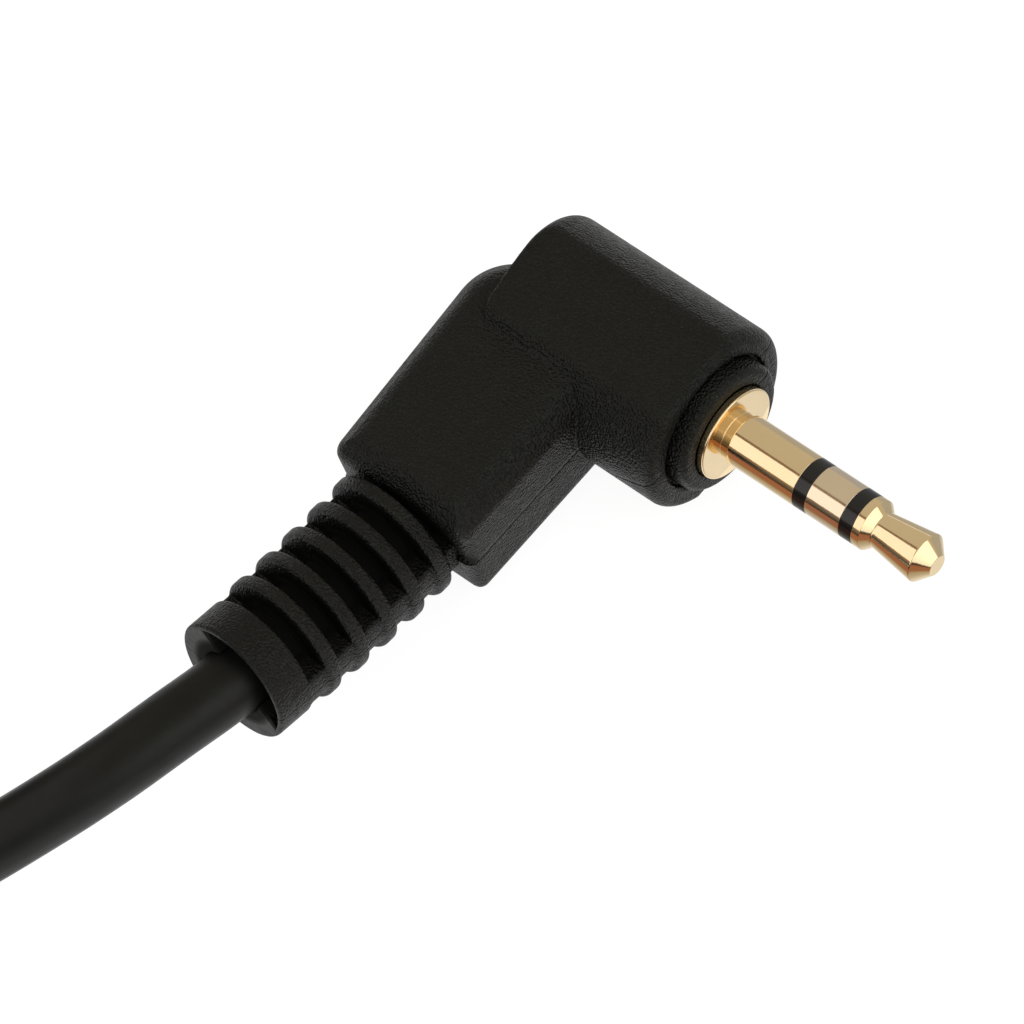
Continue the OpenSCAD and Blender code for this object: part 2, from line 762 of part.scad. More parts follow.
// Arm seen from above: wider towards the head, with its corners bevelled
module arm_plan() {
  side_start = -arm_l + arm_rear_bevel;
  far_mid = 0.4 * arm_far_bevel;
  far_start = arm_end_y - arm_far_bevel;
  polygon([
    [-arm_w / 2 + arm_rear_bevel, -arm_l],
    [arm_w / 2 - arm_rear_bevel, -arm_l],
    [arm_half_w(side_start), side_start],
    [arm_half_w(arm_end_y), arm_end_y],
    [-arm_half_w(arm_end_y) + arm_far_bevel, arm_end_y],
    [-arm_half_w(arm_end_y) + far_mid, arm_end_y - far_mid],
    [-arm_half_w(far_start), far_start],
    [-arm_half_w(side_start), side_start]
  ]);
}

// Arm with a bevel along each long edge and a small one across its rear edges
module arm_solid() {
  difference() {
    translate([0, 0, -arm_h / 2]) linear_extrude(arm_h) arm_plan();
    for (s = [-1, 1], t = [-1, 1]) {
      translate([s * arm_w / 2, -arm_l, t * (arm_h / 2 - arm_bevel)]) rotate([0, 0, -s * flare_angle])
        rotate([0, -s * t * 45, 0]) translate([s > 0 ? 0 : -4, -4, t > 0 ? 0 : -4]) cube([4, arm_l + 9, 4]);
    }
    for (t = [-1, 1]) translate([0, -arm_l, t * (arm_h / 2 - 0.3)])
      rotate([t * 45, 0, 0]) translate([-arm_w, -4, t > 0 ? 0 : -4]) cube([2 * arm_w, 4, 4]);
  }
}

// Round head with flats above and below, its front rim eased, and a boss inside a round groove
module head_solid() {
  rim = 0.6;
  groove_w = 0.35;
  groove_depth = 0.45;
  boss_r = boss_d / 2;
  intersection() {
    rotate([0, 90, 0]) rotate_extrude($fn = fine) polygon([
      [0, -head_back], [head_r, -head_back], [head_r, head_front - rim], [head_r - rim, head_front],
      [boss_r + groove_w, head_front], [boss_r + groove_w, head_front - groove_depth],
      [boss_r, head_front - groove_depth], [boss_r, boss_face], [0, boss_face]
    ]);
    translate([-head_back - 1, -head_d, -head_h / 2]) cube([boss_face + head_back + 2, 2 * head_d, head_h]);
  }
}

module plug_body() {
  color("#19191b") at_plug() difference() {
    union() {
      arm_solid();
      head_solid();
    }
    // Seat of the inner mould, the jack's barrel and its flange
    rod_x(mould_r + fit, chamber_back, mould_front + fit);
    rod_x(barrel_r + fit, mould_front - 1, boss_face + 1);
    rod_x(flange_d / 2 + play, boss_face - 0.3, boss_face + 1);
    // Chamber for the cores, the cord's own bore and the seat of the relief's root
    rod_y(wire_chamber_r, jacket_front - eps, 0);
    rod_y(cord_r + fit, -arm_l - 1, jacket_front);
    rod_y(root_r + fit, -arm_l - 1, -arm_l + relief_root + fit);
  }
}

// Moves from axes at the bend's centre, with the relief along -Y at x = bend radius, to the plug's
module on_relief() {
  translate([0, -arm_l, 0]) rotate([0, relief_roll, 0]) rotate([0, 0, -relief_tilt])
    translate([-relief_bend_r, 0, 0]) children();
}

// Places a slice of the relief, cut square to its arc, at an angle round the bend's centre
module on_relief_arc(angle) {
  on_relief() rotate([0, 0, -angle]) translate([relief_bend_r, 0, 0]) rotate([90, 0, 0]) children();
}

// Sweeps a section along the relief. In the section, x is level and y is up.
module relief_sweep(from_angle, to_angle) {
  on_relief() rotate([0, 0, -to_angle]) rotate_extrude(angle = to_angle - from_angle, $fn = fine)
    translate([relief_bend_r, 0]) rotate(relief_roll) children();
}

web_w = 0.8;

module plug_strain_relief() {
  color("#19191b") at_plug() difference() {
    union() {
      rod_y(root_r, -arm_l - relief_gap / 2, -arm_l + relief_root, fine);
      intersection() {
        union() {
          relief_sweep(-arc_angle(0.5), relief_angle) circle(d = rib_core_d, $fn = medium);
          for (i = [0 : rib_count - 1])
            on_relief_arc(arc_angle(relief_gap + i * rib_pitch))
              cylinder(r = rib_d / 2 - 0.04 * i, h = rib_t, $fn = fine);
          on_relief_arc(arc_angle(relief_gap + rib_count * rib_pitch))
            cylinder(r = rib_d / 2 - 0.2, h = collar_l, $fn = fine);
          // Webs that join the ribs along both sides
          relief_sweep(-arc_angle(0.5), relief_angle - arc_angle(1)) intersection() {
            circle(d = rib_d - 0.8, $fn = medium);
            square([rib_d, 2 * web_w], center = true);
          }
        }
        translate([-10, -arm_l - 2 * relief_l, -10]) cube([20, 2 * relief_l - fit, 20]);
      }
    }
    rod_y(cord_r + 0.15, -arm_l - 0.3, -arm_l + 1);
    relief_sweep(-arc_angle(0.3), relief_angle + arc_angle(2)) circle(r = cord_r + fit, $fn = medium);
    // Mouth, taller than it is wide, so that the cord can bend up and down
    relief_sweep(cord_start_angle, relief_angle + arc_angle(2))
      for (s = [-1, 1]) translate([0, s * bell_rise]) circle(r = bell_r, $fn = medium);
  }
}

module cord_end_plug() {
  color("#17171a") at_plug() {
    relief_sweep(arc_angle(0.3), cord_start_angle) circle(r = cord_r, $fn = medium);
    rod_y(cord_r, -arm_l, jacket_front);
  }
}

module inner_mould() {
  color("#e6e3da") at_plug() difference() {
    rod_x(mould_r, mould_back, mould_front);
    rod_x(barrel_r + fit, 0, head_front);
  }
}

// ======== Jack

// Ring about the pin's axis
module ring_x(r_in, r_out, x0, x1) {
  difference() {
    rod_x(r_out, x0, x1, fine);
    rod_x(r_in, x0 - 1, x1 + 1, fine);
  }
}

module jack_sleeve() {
  color("#d9b56c") at_plug() difference() {
    union() {
      rod_x(barrel_r, barrel_back, flange_back + eps, fine);
      rod_x(flange_d / 2, flange_back, flange_face, fine);
      rod_x(neck_r, flange_face - eps, sleeve_start + eps, fine);
      rod_x(jack_r, sleeve_start, sleeve_end, fine);
    }
    rod_x(sleeve_in, 0, sleeve_end + 1, fine);
  }
}

module ring_insulator() {
  color("#0c0c0d") at_plug() {
    difference() {
      union() {
        rod_x(ring_ins_out, barrel_back - 0.6, sleeve_end + eps, fine);
        rod_x(jack_r, sleeve_end, ring_start, fine);
      }
      rod_x(ring_ins_in, 0, ring_start + 1, fine);
    }
  }
}

module jack_ring() {
  color("#d9b56c") at_plug() difference() {
    union() {
      rod_x(ring_out, barrel_back - 1.4, ring_start + eps, fine);
      rod_x(jack_r, ring_start, ring_end, fine);
    }
    rod_x(ring_in, 0, ring_end + 1, fine);
  }
}

module tip_insulator() {
  color("#0c0c0d") at_plug() difference() {
    union() {
      rod_x(tip_ins_out, barrel_back - 2, ring_end + eps, fine);
      rod_x(jack_r, ring_end, tip_start, fine);
    }
    rod_x(tip_ins_in, 0, tip_start + 1, fine);
  }
}

// Tip contact: shoulder, waist, swelling nose and blunt point, on its long centre rod
module jack_tip() {
  shoulder = 0.42;
  waist = 0.82;
  nose = 3.2;
  color("#d9b56c") at_plug() {
    rod_x(rod_r, rod_end_x, tip_start + 0.1, fine);
    translate([tip_start, 0, 0]) rotate([0, 90, 0]) rotate_extrude($fn = fine) polygon([
      [0, 0], [jack_r, 0], [jack_r, shoulder], [jack_r * 0.7, waist],
      [jack_r * 0.89, nose], [jack_r * 0.27, tip_l], [0, tip_l]
    ]);
  }
}

lug_w = 1.2;
lug_t = 0.3;
lug_reach = 2.2;
sleeve_lug_x = barrel_back - lug_t - fit;
ring_lug_x = barrel_back - 1.2;
rod_end_x = barrel_back - 2.8;
solder_w = 0.7;
joint_l = 0.6;

// Middle of each solder joint's far face: tip, ring and sleeve
plug_joints = [
  [rod_end_x + solder_w / 2, -rod_r - joint_l, 0],
  [ring_lug_x + lug_t / 2, -lug_reach - joint_l, 0],
  [sleeve_lug_x + lug_t / 2, -lug_reach - joint_l, 0]
];

// Washer round the jack's core with a lug towards the arm
module lug(x, r_in) {
  difference() {
    union() {
      rod_x(r_in + 0.35, x, x + lug_t);
      translate([x, -lug_reach, -lug_w / 2]) cube([lug_t, lug_reach, lug_w]);
    }
    rod_x(r_in, x - 1, x + 1);
  }
}

module ring_terminal() {
  color("#c9ccd0") at_plug() lug(ring_lug_x, ring_out + eps);
}

module sleeve_terminal() {
  color("#c9ccd0") at_plug() lug(sleeve_lug_x, ring_ins_out + eps);
}

module plug_wires() {
  at_plug() for (i = [0 : 2]) {
    start = [(i - 1) * 1, jacket_front, 0];
    end = plug_joints[i];
    color(wire_colours[i])
      tube([start, start + [0, 0.6, 0], end - [0, 0.5, 0], end], wire_r, 6, false, [0, 1, 0], [0, 1, 0]);
  }
}

module plug_solder() {
  color("#c4c6c9") at_plug() for (j = plug_joints)
    translate(j - [solder_w / 2, 0, solder_w / 2]) cube([solder_w, joint_l, solder_w]);
}

// ======== Assembly

case_bottom();
case_top();
case_screws();
release_button();
lock_slider();
contact_base();
shutter_leaf();
focus_leaf();
common_leaf();
leaf_spacers();
leaf_clamp_plate();
leaf_screws();
cord_clamp();
cord_clamp_screws();
handset_strain_relief();
cord_end_handset();
handset_wires();
handset_solder();
cord_handset_side();
cord_coil();
cord_plug_side();
plug_body();
plug_strain_relief();
cord_end_plug();
inner_mould();
jack_sleeve();
ring_insulator();
jack_ring();
tip_insulator();
jack_tip();
ring_terminal();
sleeve_terminal();
plug_wires();
plug_solder();
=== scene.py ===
"""Cable shutter release: the visual model round its CAD frame, the materials and the studio.

Sizes are in millimetres and MM turns them into metres. The plug's own axes have the pin along +P,
the arm coming in along +A and Z up, and their origin is where the pin's axis meets the arm's.
"""

import math

import bmesh
import bpy
import numpy as np
from mathutils import Matrix, Vector


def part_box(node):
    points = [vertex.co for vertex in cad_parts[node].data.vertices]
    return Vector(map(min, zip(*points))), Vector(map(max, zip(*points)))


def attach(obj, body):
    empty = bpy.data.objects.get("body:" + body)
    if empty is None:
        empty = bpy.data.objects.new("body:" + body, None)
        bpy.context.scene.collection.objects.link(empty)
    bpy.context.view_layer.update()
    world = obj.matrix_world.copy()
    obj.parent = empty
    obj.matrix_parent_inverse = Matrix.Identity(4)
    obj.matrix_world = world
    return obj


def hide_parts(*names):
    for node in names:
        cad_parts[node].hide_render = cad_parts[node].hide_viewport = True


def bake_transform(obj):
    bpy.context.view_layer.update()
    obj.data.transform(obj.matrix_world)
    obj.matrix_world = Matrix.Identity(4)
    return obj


MM = 0.001
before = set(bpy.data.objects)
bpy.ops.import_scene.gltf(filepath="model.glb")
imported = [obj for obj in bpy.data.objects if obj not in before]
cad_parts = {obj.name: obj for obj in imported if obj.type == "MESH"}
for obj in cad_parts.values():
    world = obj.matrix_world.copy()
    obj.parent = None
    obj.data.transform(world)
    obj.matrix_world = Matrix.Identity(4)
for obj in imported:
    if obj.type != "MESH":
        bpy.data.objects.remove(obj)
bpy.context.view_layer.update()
scene = bpy.context.scene

# ---- Sizes of the plug in its own axes: the CAD model's, or a little nearer to the photograph
ARM_L, ARM_W, ARM_FLARE, ARM_H, ARM_BEVEL = 11.65, 7.85, 0.78, 6.8, 0.95
ARM_END, ARM_FAR_BEVEL, ARM_SHIFT = 0.85, 2.9, 0.05
LOWER_STEP, STEP_RUN = 0.22, 0.2
HEAD_R, HEAD_H, HEAD_BACK, HEAD_SLANT, HEAD_FRONT = 4.525, 7.7, 2.35, 0.1, 8.55
BOSS_R, BOSS_FACE, BOSS_ROOT = 3.2, 9.35, 1
GROOVE_W, GROOVE_DEPTH = 0.2, 0.35
FLANGE_R, FLANGE_BACK, FLANGE_FACE = 2.3, 9.3, 9.7
SEAT_GAP, SEAT_DEPTH = 0.03, 0.3
JACK_R, NECK_R, BARREL_R, BARREL_L, JACK_BORE = 1.25, 1.12, 1.6, 1.2, 0.4
SLEEVE_START, SLEEVE_END, RING_START, RING_END = 10.15, 13.93, 14.63, 16.57
TIP_START, TIP_SHOULDER, TIP_WAIST, TIP_CONE, TIP_END = 17.27, 17.69, 18.09, 20.52, 21.2
WAIST_R, CONE_R, END_R = JACK_R * 0.7, JACK_R * 0.97, JACK_R * 0.4
RIB_COUNT, RIB_T, RIB_PITCH, RIB_GAP, RIB_R, RIB_TAPER = 5, 0.75, 1.7, 0.57, 3.35, 0.03
CORE_R, COLLAR_L, COLLAR_R, WEB_R, WEB_W = 1.75, 1.95, 3.1, 3.1, 0.8
RECESS_R, RECESS_DEPTH, RECESS_TURN, RECESS_CHORD = 2.8, 0.8, math.radians(50), 0.8
RELIEF_L = RIB_GAP + RIB_COUNT * RIB_PITCH + COLLAR_L
RELIEF_ROOT, CORE_STOP = 0.4, 1
BEND_R, TILT, ROLL = 90.0, math.radians(6), math.radians(73)
CORD_R, CORD_GAP = 1.6, 0.01
BELL_L = 1.3

tip_low, tip_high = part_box("jack_tip")
PLUG_AT = Vector((tip_high.x - TIP_END * MM, (tip_low.y + tip_high.y) / 2, (tip_low.z + tip_high.z) / 2))

# ======== Camera, as fitted to the photograph

LENS, SENSOR = 315.6, 36
CAMERA_FROM_PLUG = Vector((174.68, -98.58, 346.22))
CAMERA_RIGHT = Vector((0.7502, 0.6278, -0.2073))
CAMERA_UP = Vector((-0.5011, 0.7446, 0.4410))
CAMERA_BACK = Vector((0.4313, -0.2269, 0.8733))


def make_camera():
    data = bpy.data.cameras.new("camera")
    data.lens, data.sensor_width = LENS, SENSOR
    data.clip_start, data.clip_end = 0.01, 20
    camera = bpy.data.objects.new("camera", data)
    axes = Matrix((CAMERA_RIGHT, CAMERA_UP, CAMERA_BACK)).transposed()
    camera.matrix_world = Matrix.Translation(PLUG_AT + CAMERA_FROM_PLUG * MM) @ axes.to_4x4()
    scene.collection.objects.link(camera)
    scene.camera = camera


make_camera()

# ======== Cord: its route in the frame's own axes

HANDSET_ROUTE = [
    (0, 45.6, 8.5), (0, 48.8, 8.5), (0, 52, 8.1), (0.8, 57, 6.8), (3.1, 61.6, 5.2), (7, 65.4, 3.6),
    (12, 67.2, 2.6), (17, 67.2, 2), (21.7, 65, 1.7), (25.3, 61, 1.6), (27.3, 56, 1.6), (28, 51, 1.6),
    (28, 44, 1.6), (28, 36, 1.6), (28, 29, 1.7), (28, 23, 2.4), (28, 18, 3.6), (28, 13, 4.8), (28, 8, 5.3),
]
PLUG_ROUTE = [
    (74.7, -4.4, 1.6), (77.6, 0.6, 1.7), (80.4, 5.3, 2.5), (82.9, 9.4, 3.9), (84.8, 13, 5), (86, 16.2, 5.5),
]
COIL_CENTRE, COIL_R, COIL_TURNS, TURN_PITCH = (51, 1), 23, 5.403, 3.7
COIL_START = math.radians(-35)
COIL_POINTS_PER_TURN = 20
COIL_EASE = 0.08        # turns on either side of its middle over which it starts to widen again
CLIMB_TURNS = 0.5       # turns over which it climbs to its upper layer


def coil_point(turn):
    """Point of the coil, in turns from the plug's side: inwards below, then up, and outwards above."""
    away = abs(turn - COIL_TURNS / 2)
    spread = away if away > COIL_EASE else (away * away / COIL_EASE + COIL_EASE) / 2
    radius = COIL_R - TURN_PITCH * (COIL_TURNS / 2 - spread)
    climb = min(1, max(0, (turn - COIL_TURNS / 2) / CLIMB_TURNS + 0.5))
    angle = COIL_START - 2 * math.pi * turn
    return (
        COIL_CENTRE[0] + radius * math.cos(angle),
        COIL_CENTRE[1] + radius * math.sin(angle),
        CORD_R + TURN_PITCH * climb * climb * (3 - 2 * climb),
    )


def relief_point(arc):
    """Point of the strain relief's bent axis, that many millimetres from the arm, in the plug's axes."""
    angle = arc / BEND_R + TILT
    x = BEND_R * (math.cos(angle) - math.cos(TILT))
    y = BEND_R * (math.sin(TILT) - math.sin(angle))
    return Vector((x * math.cos(ROLL), y - ARM_L, -x * math.sin(ROLL)))


def make_cord():
    """One Bezier curve from inside the handset's relief to inside the plug's. Its knots set its radius."""
    steps = math.ceil(COIL_TURNS * COIL_POINTS_PER_TURN)
    coil = [coil_point(COIL_TURNS * i / steps) for i in range(steps + 1)]
    inside_relief = [tuple(PLUG_AT / MM + relief_point(RELIEF_L - back)) for back in (0, BELL_L)]
    route = HANDSET_ROUTE + coil[::-1] + PLUG_ROUTE + inside_relief
    curve = bpy.data.curves.new("cord", "CURVE")
    curve.dimensions = "3D"
    curve.bevel_depth, curve.bevel_resolution = 1, 7
    curve.use_fill_caps = True
    curve.resolution_u = 5
    spline = curve.splines.new("BEZIER")
    spline.bezier_points.add(len(route) - 1)
    for knot, at in zip(spline.bezier_points, route):
        knot.co, knot.radius = Vector(at) * MM, CORD_R * MM
        knot.handle_left_type = knot.handle_right_type = "AUTO"
    cord = bpy.data.objects.new("cord", curve)
    scene.collection.objects.link(cord)
    return cord


cord = make_cord()
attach(cord, "root")
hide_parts("cord_handset_side", "cord_coil", "cord_plug_side")

# ======== Meshing: signed distances in millimetres, and a surface net over them

NET_PULLS = 2           # times that a net's points are pulled onto the surface
# How far the sharpness reaches, and where it starts to mark edges for wear and a painted highlight
EDGE_REACH, EDGE_FROM = 0.12, 0.9


def round_max(a, b, r):
    """Both of two solids, with the edge between them rounded."""
    return np.minimum(np.maximum(a, b), -r) + np.hypot(np.maximum(a + r, 0), np.maximum(b + r, 0))


def round_min(a, b, r):
    """Either of two solids, with a fillet between them."""
    return -round_max(-a, -b, r)


def gradient(sdf, at, reach):
    """Unit normals of a distance field at points."""
    steps = np.eye(3) * reach
    slopes = [sdf(*(at + step).T) - sdf(*(at - step).T) for step in steps]
    slopes = np.stack(slopes, 1) / (2 * reach)
    return slopes / np.maximum(np.linalg.norm(slopes, axis=1), 1e-9)[:, None]


def surface_net(sdf, low, high, step):
    """(vertices, quads, normals) of the surface where sdf is 0, inside a box."""
    axes = [np.arange(a, b + step, step) for a, b in zip(low, high)]
    field = sdf(*np.meshgrid(*axes, indexing="ij"))
    shape = np.array(field.shape)
    total, count, quads = np.zeros((field.size, 3)), np.zeros(field.size), []
    for axis in range(3):
        near = np.take(field, range(shape[axis] - 1), axis)
        far = np.take(field, range(1, shape[axis]), axis)
        corner = np.argwhere((near < 0) != (far < 0))
        a, b = near[tuple(corner.T)], far[tuple(corner.T)]
        crossing = corner.astype(float)
        crossing[:, axis] += a / (a - b)
        side, up = (axis + 1) % 3, (axis + 2) % 3
        cells = []
        for ds, du in ((0, 0), (-1, 0), (-1, -1), (0, -1)):
            cell = corner.copy()
            cell[:, side] += ds
            cell[:, up] += du
            cells.append(np.ravel_multi_index(tuple(cell.T), shape))
            for k in range(3):
                total[:, k] += np.bincount(cells[-1], crossing[:, k], field.size)
            count += np.bincount(cells[-1], minlength=field.size)
        quad = np.stack(cells, 1)
        quads.append(np.where((a < 0)[:, None], quad, quad[:, ::-1]))
    used, faces = np.unique(np.concatenate(quads), return_inverse=True)
    at = np.array(low) + step * total[used] / count[used][:, None]
    for _ in range(NET_PULLS):
        at -= sdf(*at.T)[:, None] * gradient(sdf, at, step / 4)
    return at, faces.reshape(-1, 4), gradient(sdf, at, step / 2)


def sharpness(sdf, at):
    """0 on flats and in hollows, up to 1 on sharp outer edges, at points of a surface."""
    bend = -6 * sdf(*at.T)
    for step in np.eye(3) * EDGE_REACH:
        bend += sdf(*(at + step).T) + sdf(*(at - step).T)
    return np.clip(bend / EDGE_REACH ** 2 / 3 - EDGE_FROM, 0, 1)


def mesh_piece(name, vertices, faces, normals, attributes=None):
    """A smooth piece with its own normals, from points in the plug's axes."""
    mesh = bpy.data.meshes.new(name)
    places = np.array(vertices) * MM + np.array(PLUG_AT)
    mesh.from_pydata(places.tolist(), [], np.array(faces).tolist())
    mesh.update()
    for key, values in (attributes or {}).items():
        attribute = mesh.attributes.new(key, "FLOAT", "POINT")
        attribute.data.foreach_set("value", np.array(values, np.float32))
    mesh.polygons.foreach_set("use_smooth", [True] * len(mesh.polygons))
    mesh.normals_split_custom_set_from_vertices(np.array(normals).tolist())
    piece = bpy.data.objects.new(name, mesh)
    scene.collection.objects.link(piece)
    return piece


# ======== Plug body

# Radii of its rounded edges. Of each pair, the first is for the side that the comment names
HEAD_BACK_ROUND, HEAD_FRONT_ROUND = (0.9, 0.4), (0.6, 0.45)     # +A side
ARM_REAR_ROUND = (0.75, 0.6)                                    # -P side
HEAD_FLAT_ROUND, GROOVE_ROUND, BOSS_ROUND, SEAT_ROUND = 0.12, 0.1, 0.35, 0.08
ARM_END_ROUND, ARM_FLAT_ROUND, ARM_BEVEL_ROUND, REAR_FACE_ROUND = 0.3, 0.1, 0.3, 0.3
BODY_FILLET = 0.06


def head_field(p, a, z):
    """Round head with flats, a grooved front and the boss round the jack."""
    r = np.hypot(a, z)
    back = -HEAD_BACK - HEAD_SLANT * a - p
    head = round_max(r - HEAD_R, back, np.where(a > 0, *HEAD_BACK_ROUND))
    head = round_max(head, np.abs(z) - HEAD_H / 2, HEAD_FLAT_ROUND)
    head = round_max(head, p - HEAD_FRONT, np.where(a > 0, *HEAD_FRONT_ROUND))
    groove = np.maximum(np.abs(r - BOSS_R - GROOVE_W / 2) - GROOVE_W / 2, HEAD_FRONT - GROOVE_DEPTH - p)
    head = round_max(head, -groove, GROOVE_ROUND)
    boss = np.maximum(round_max(r - BOSS_R, p - BOSS_FACE, BOSS_ROUND), HEAD_FRONT - BOSS_ROOT - p)
    seat = np.maximum(r - FLANGE_R - SEAT_GAP, BOSS_FACE - SEAT_DEPTH - p)
    return round_max(np.minimum(head, boss), -seat, SEAT_ROUND)


def arm_field(p, a, z):
    """Flat arm that widens towards the head, bevelled along its long edges.

    Its lower half ends a little further back than its upper half, at the parting line.
    """
    flare = ARM_FLARE / 2 / ARM_L
    half = ARM_W / 2 + flare * (a + ARM_L)
    thick = np.abs(z) - ARM_H / 2
    side = (np.abs(p - ARM_SHIFT) - half) * math.cos(math.atan(flare))
    rear = -ARM_L - LOWER_STEP * np.clip(0.5 - z / STEP_RUN, 0, 1) - a
    side = round_max(side, a - ARM_END, np.where(p < 0, ARM_FAR_BEVEL, ARM_END_ROUND))
    side = round_max(side, rear, np.where(p < 0, *ARM_REAR_ROUND))
    bevel = (side + thick + ARM_BEVEL) / math.sqrt(2)
    arm = round_max(side, thick, ARM_FLAT_ROUND)
    arm = round_max(arm, bevel, ARM_BEVEL_ROUND)
    return round_max(arm, rear, REAR_FACE_ROUND)


def plug_body_field(p, a, z):
    return round_min(head_field(p, a, z), arm_field(p, a, z), BODY_FILLET)


def make_plug_body():
    step = 0.1
    low = (-ARM_W / 2 - 1, -ARM_L - 0.5, -HEAD_H / 2 - 0.5)
    high = (BOSS_FACE + 0.5, HEAD_R + 0.5, HEAD_H / 2 + 0.5)
    at, faces, normals = surface_net(plug_body_field, low, high, step)
    # Sharp edges are marked for wear and a painted highlight in the material
    return mesh_piece("overmould", at, faces, normals, {"edge_wear_and_highlight": sharpness(plug_body_field, at)})


# ======== Plug strain relief

RIB_ROUND, COLLAR_ROUND, WEB_ROUND, RECESS_ROUND, BORE_ROUND = 0.2, 0.16, 0.12, 0.12, 0.12
RELIEF_FILLET = 0.08
RELIEF_SPAN, RELIEF_LOW, RELIEF_HIGH = 4.6, -4.2, 6     # the box that holds it, across and up


def along_relief(p, a, z):
    """(distance along the bent axis from the arm, sideways, upwards) of points in the plug's axes."""
    x = p * math.cos(ROLL) - z * math.sin(ROLL) + BEND_R * math.cos(TILT)
    w = p * math.sin(ROLL) + z * math.cos(ROLL)
    y = a + ARM_L - BEND_R * math.sin(TILT)
    arc = BEND_R * (np.arctan2(-y, x) - TILT)
    u = np.hypot(x, y) - BEND_R
    return arc, u * math.cos(ROLL) + w * math.sin(ROLL), w * math.cos(ROLL) - u * math.sin(ROLL)


def disc(arc, r, start, length, radius, edge):
    """Round disc across the relief's axis."""
    return round_max(r - radius, np.abs(arc - start - length / 2) - length / 2, edge)


def relief_field(p, a, z):
    """Core with two webs, ribs and a collar, which has a recess over the cord."""
    arc, side, up = along_relief(p, a, z)
    r = np.hypot(side, up)
    ends = np.maximum(-RELIEF_ROOT - arc, arc - RELIEF_L + CORE_STOP)
    core = np.maximum(r - CORE_R, ends)
    web = np.maximum(round_max(np.abs(up) - WEB_W, r - WEB_R, WEB_ROUND), ends)
    solid = np.minimum(core, web)
    for i in range(RIB_COUNT):
        rib = disc(arc, r, RIB_GAP + i * RIB_PITCH, RIB_T, RIB_R - RIB_TAPER * i, RIB_ROUND)
        solid = round_min(solid, rib, RELIEF_FILLET)
    collar = disc(arc, r, RELIEF_L - COLLAR_L, COLLAR_L, COLLAR_R, COLLAR_ROUND)
    solid = round_min(solid, collar, RELIEF_FILLET)
    over_cord = side * math.cos(RECESS_TURN) + up * math.sin(RECESS_TURN)
    recess = np.maximum(np.maximum(r - RECESS_R, RECESS_CHORD - over_cord), RELIEF_L - RECESS_DEPTH - arc)
    solid = round_max(solid, -recess, RECESS_ROUND)
    return round_max(solid, CORD_R + CORD_GAP - r, BORE_ROUND)


def make_relief():
    step = 0.08
    low = (-RELIEF_SPAN, -ARM_L - RELIEF_L - 0.8, RELIEF_LOW)
    high = (RELIEF_SPAN, -ARM_L + 0.6, RELIEF_HIGH)
    at, faces, normals = surface_net(relief_field, low, high, step)
    arc, side, up = along_relief(*at.T)
    # What its material goes by: the parting line's height, rib tops and slots for painted shade in the
    # slots, the end face for painted light on it, sharp edges for wear and a painted highlight
    attributes = {
        "seam_up": up,
        "raised": np.clip((np.hypot(side, up) - CORE_R) / (RIB_R - CORE_R - 0.1), 0, 1),
        "end_face": np.clip((arc - RELIEF_L) / 0.1 + 1, 0, 1),
        "edge_wear_and_highlight": sharpness(relief_field, at),
    }
    return mesh_piece("ribbed_relief", at, faces, normals, attributes)


# ======== Jack: turned pieces

LATHE_SIDES = 96
ROUND_STEPS = 4


def unit(way):
    return way / np.linalg.norm(way)


def rounded_profile(corners):
    """Points and normals along a profile of (x, r, edge radius) corners, each corner rounded."""
    at = [np.array(corner[:2], float) for corner in corners]
    places, outward = [], []
    for i, here in enumerate(at):
        edge = corners[i][2]
        if i in (0, len(at) - 1) or edge == 0:
            before = here - at[i - 1] if i else at[1] - here
            after = at[i + 1] - here if i < len(at) - 1 else before
            for way in ([before, after] if 0 < i < len(at) - 1 else [before]):
                way = unit(way)
                places.append(here)
                outward.append(np.array([-way[1], way[0]]))
            continue
        back, ahead = unit(at[i - 1] - here), unit(at[i + 1] - here)
        half = math.acos(max(-1, min(1, float(back @ ahead)))) / 2
        reach = edge / math.tan(half)
        centre = here + unit(back + ahead) * edge / math.sin(half)
        start, end = here + back * reach - centre, here + ahead * reach - centre
        turn = math.atan2(start[0] * end[1] - start[1] * end[0], float(start @ end))
        sign = 1 if turn < 0 else -1
        for k in range(ROUND_STEPS + 1):
            c, s = math.cos(turn * k / ROUND_STEPS), math.sin(turn * k / ROUND_STEPS)
            spoke = np.array([start[0] * c - start[1] * s, start[0] * s + start[1] * c])
            places.append(centre + spoke)
            outward.append(sign * spoke / edge)
    return np.array(places), np.array(outward)


def turned(profile):
    """(x, y, z) of (x, r) points turned about the pin's axis, one ring after another."""
    angles = np.linspace(0, 2 * math.pi, LATHE_SIDES, endpoint=False)
    rings = [np.outer(profile[:, 1], wave(angles)).ravel() for wave in (np.cos, np.sin)]
    return np.stack([np.repeat(profile[:, 0], LATHE_SIDES), *rings], 1)


def lathe(name, corners):
    """Piece turned about the pin's axis from a profile that runs from back to front."""
    places, outward = rounded_profile(corners)
    faces = []
    for i in range(len(places) - 1):
        if np.allclose(places[i], places[i + 1]):
            continue
        ring, next_ring = i * LATHE_SIDES, (i + 1) * LATHE_SIDES
        for k in range(LATHE_SIDES):
            m = (k + 1) % LATHE_SIDES
            faces.append((ring + k, ring + m, next_ring + m, next_ring + k))
    return mesh_piece(name, turned(places), faces, turned(outward))


def plain_ring(name, start, end, edge):
    corners = [(start, JACK_BORE, 0), (start, JACK_R, edge), (end, JACK_R, edge), (end, JACK_BORE, 0)]
    return lathe(name, corners)


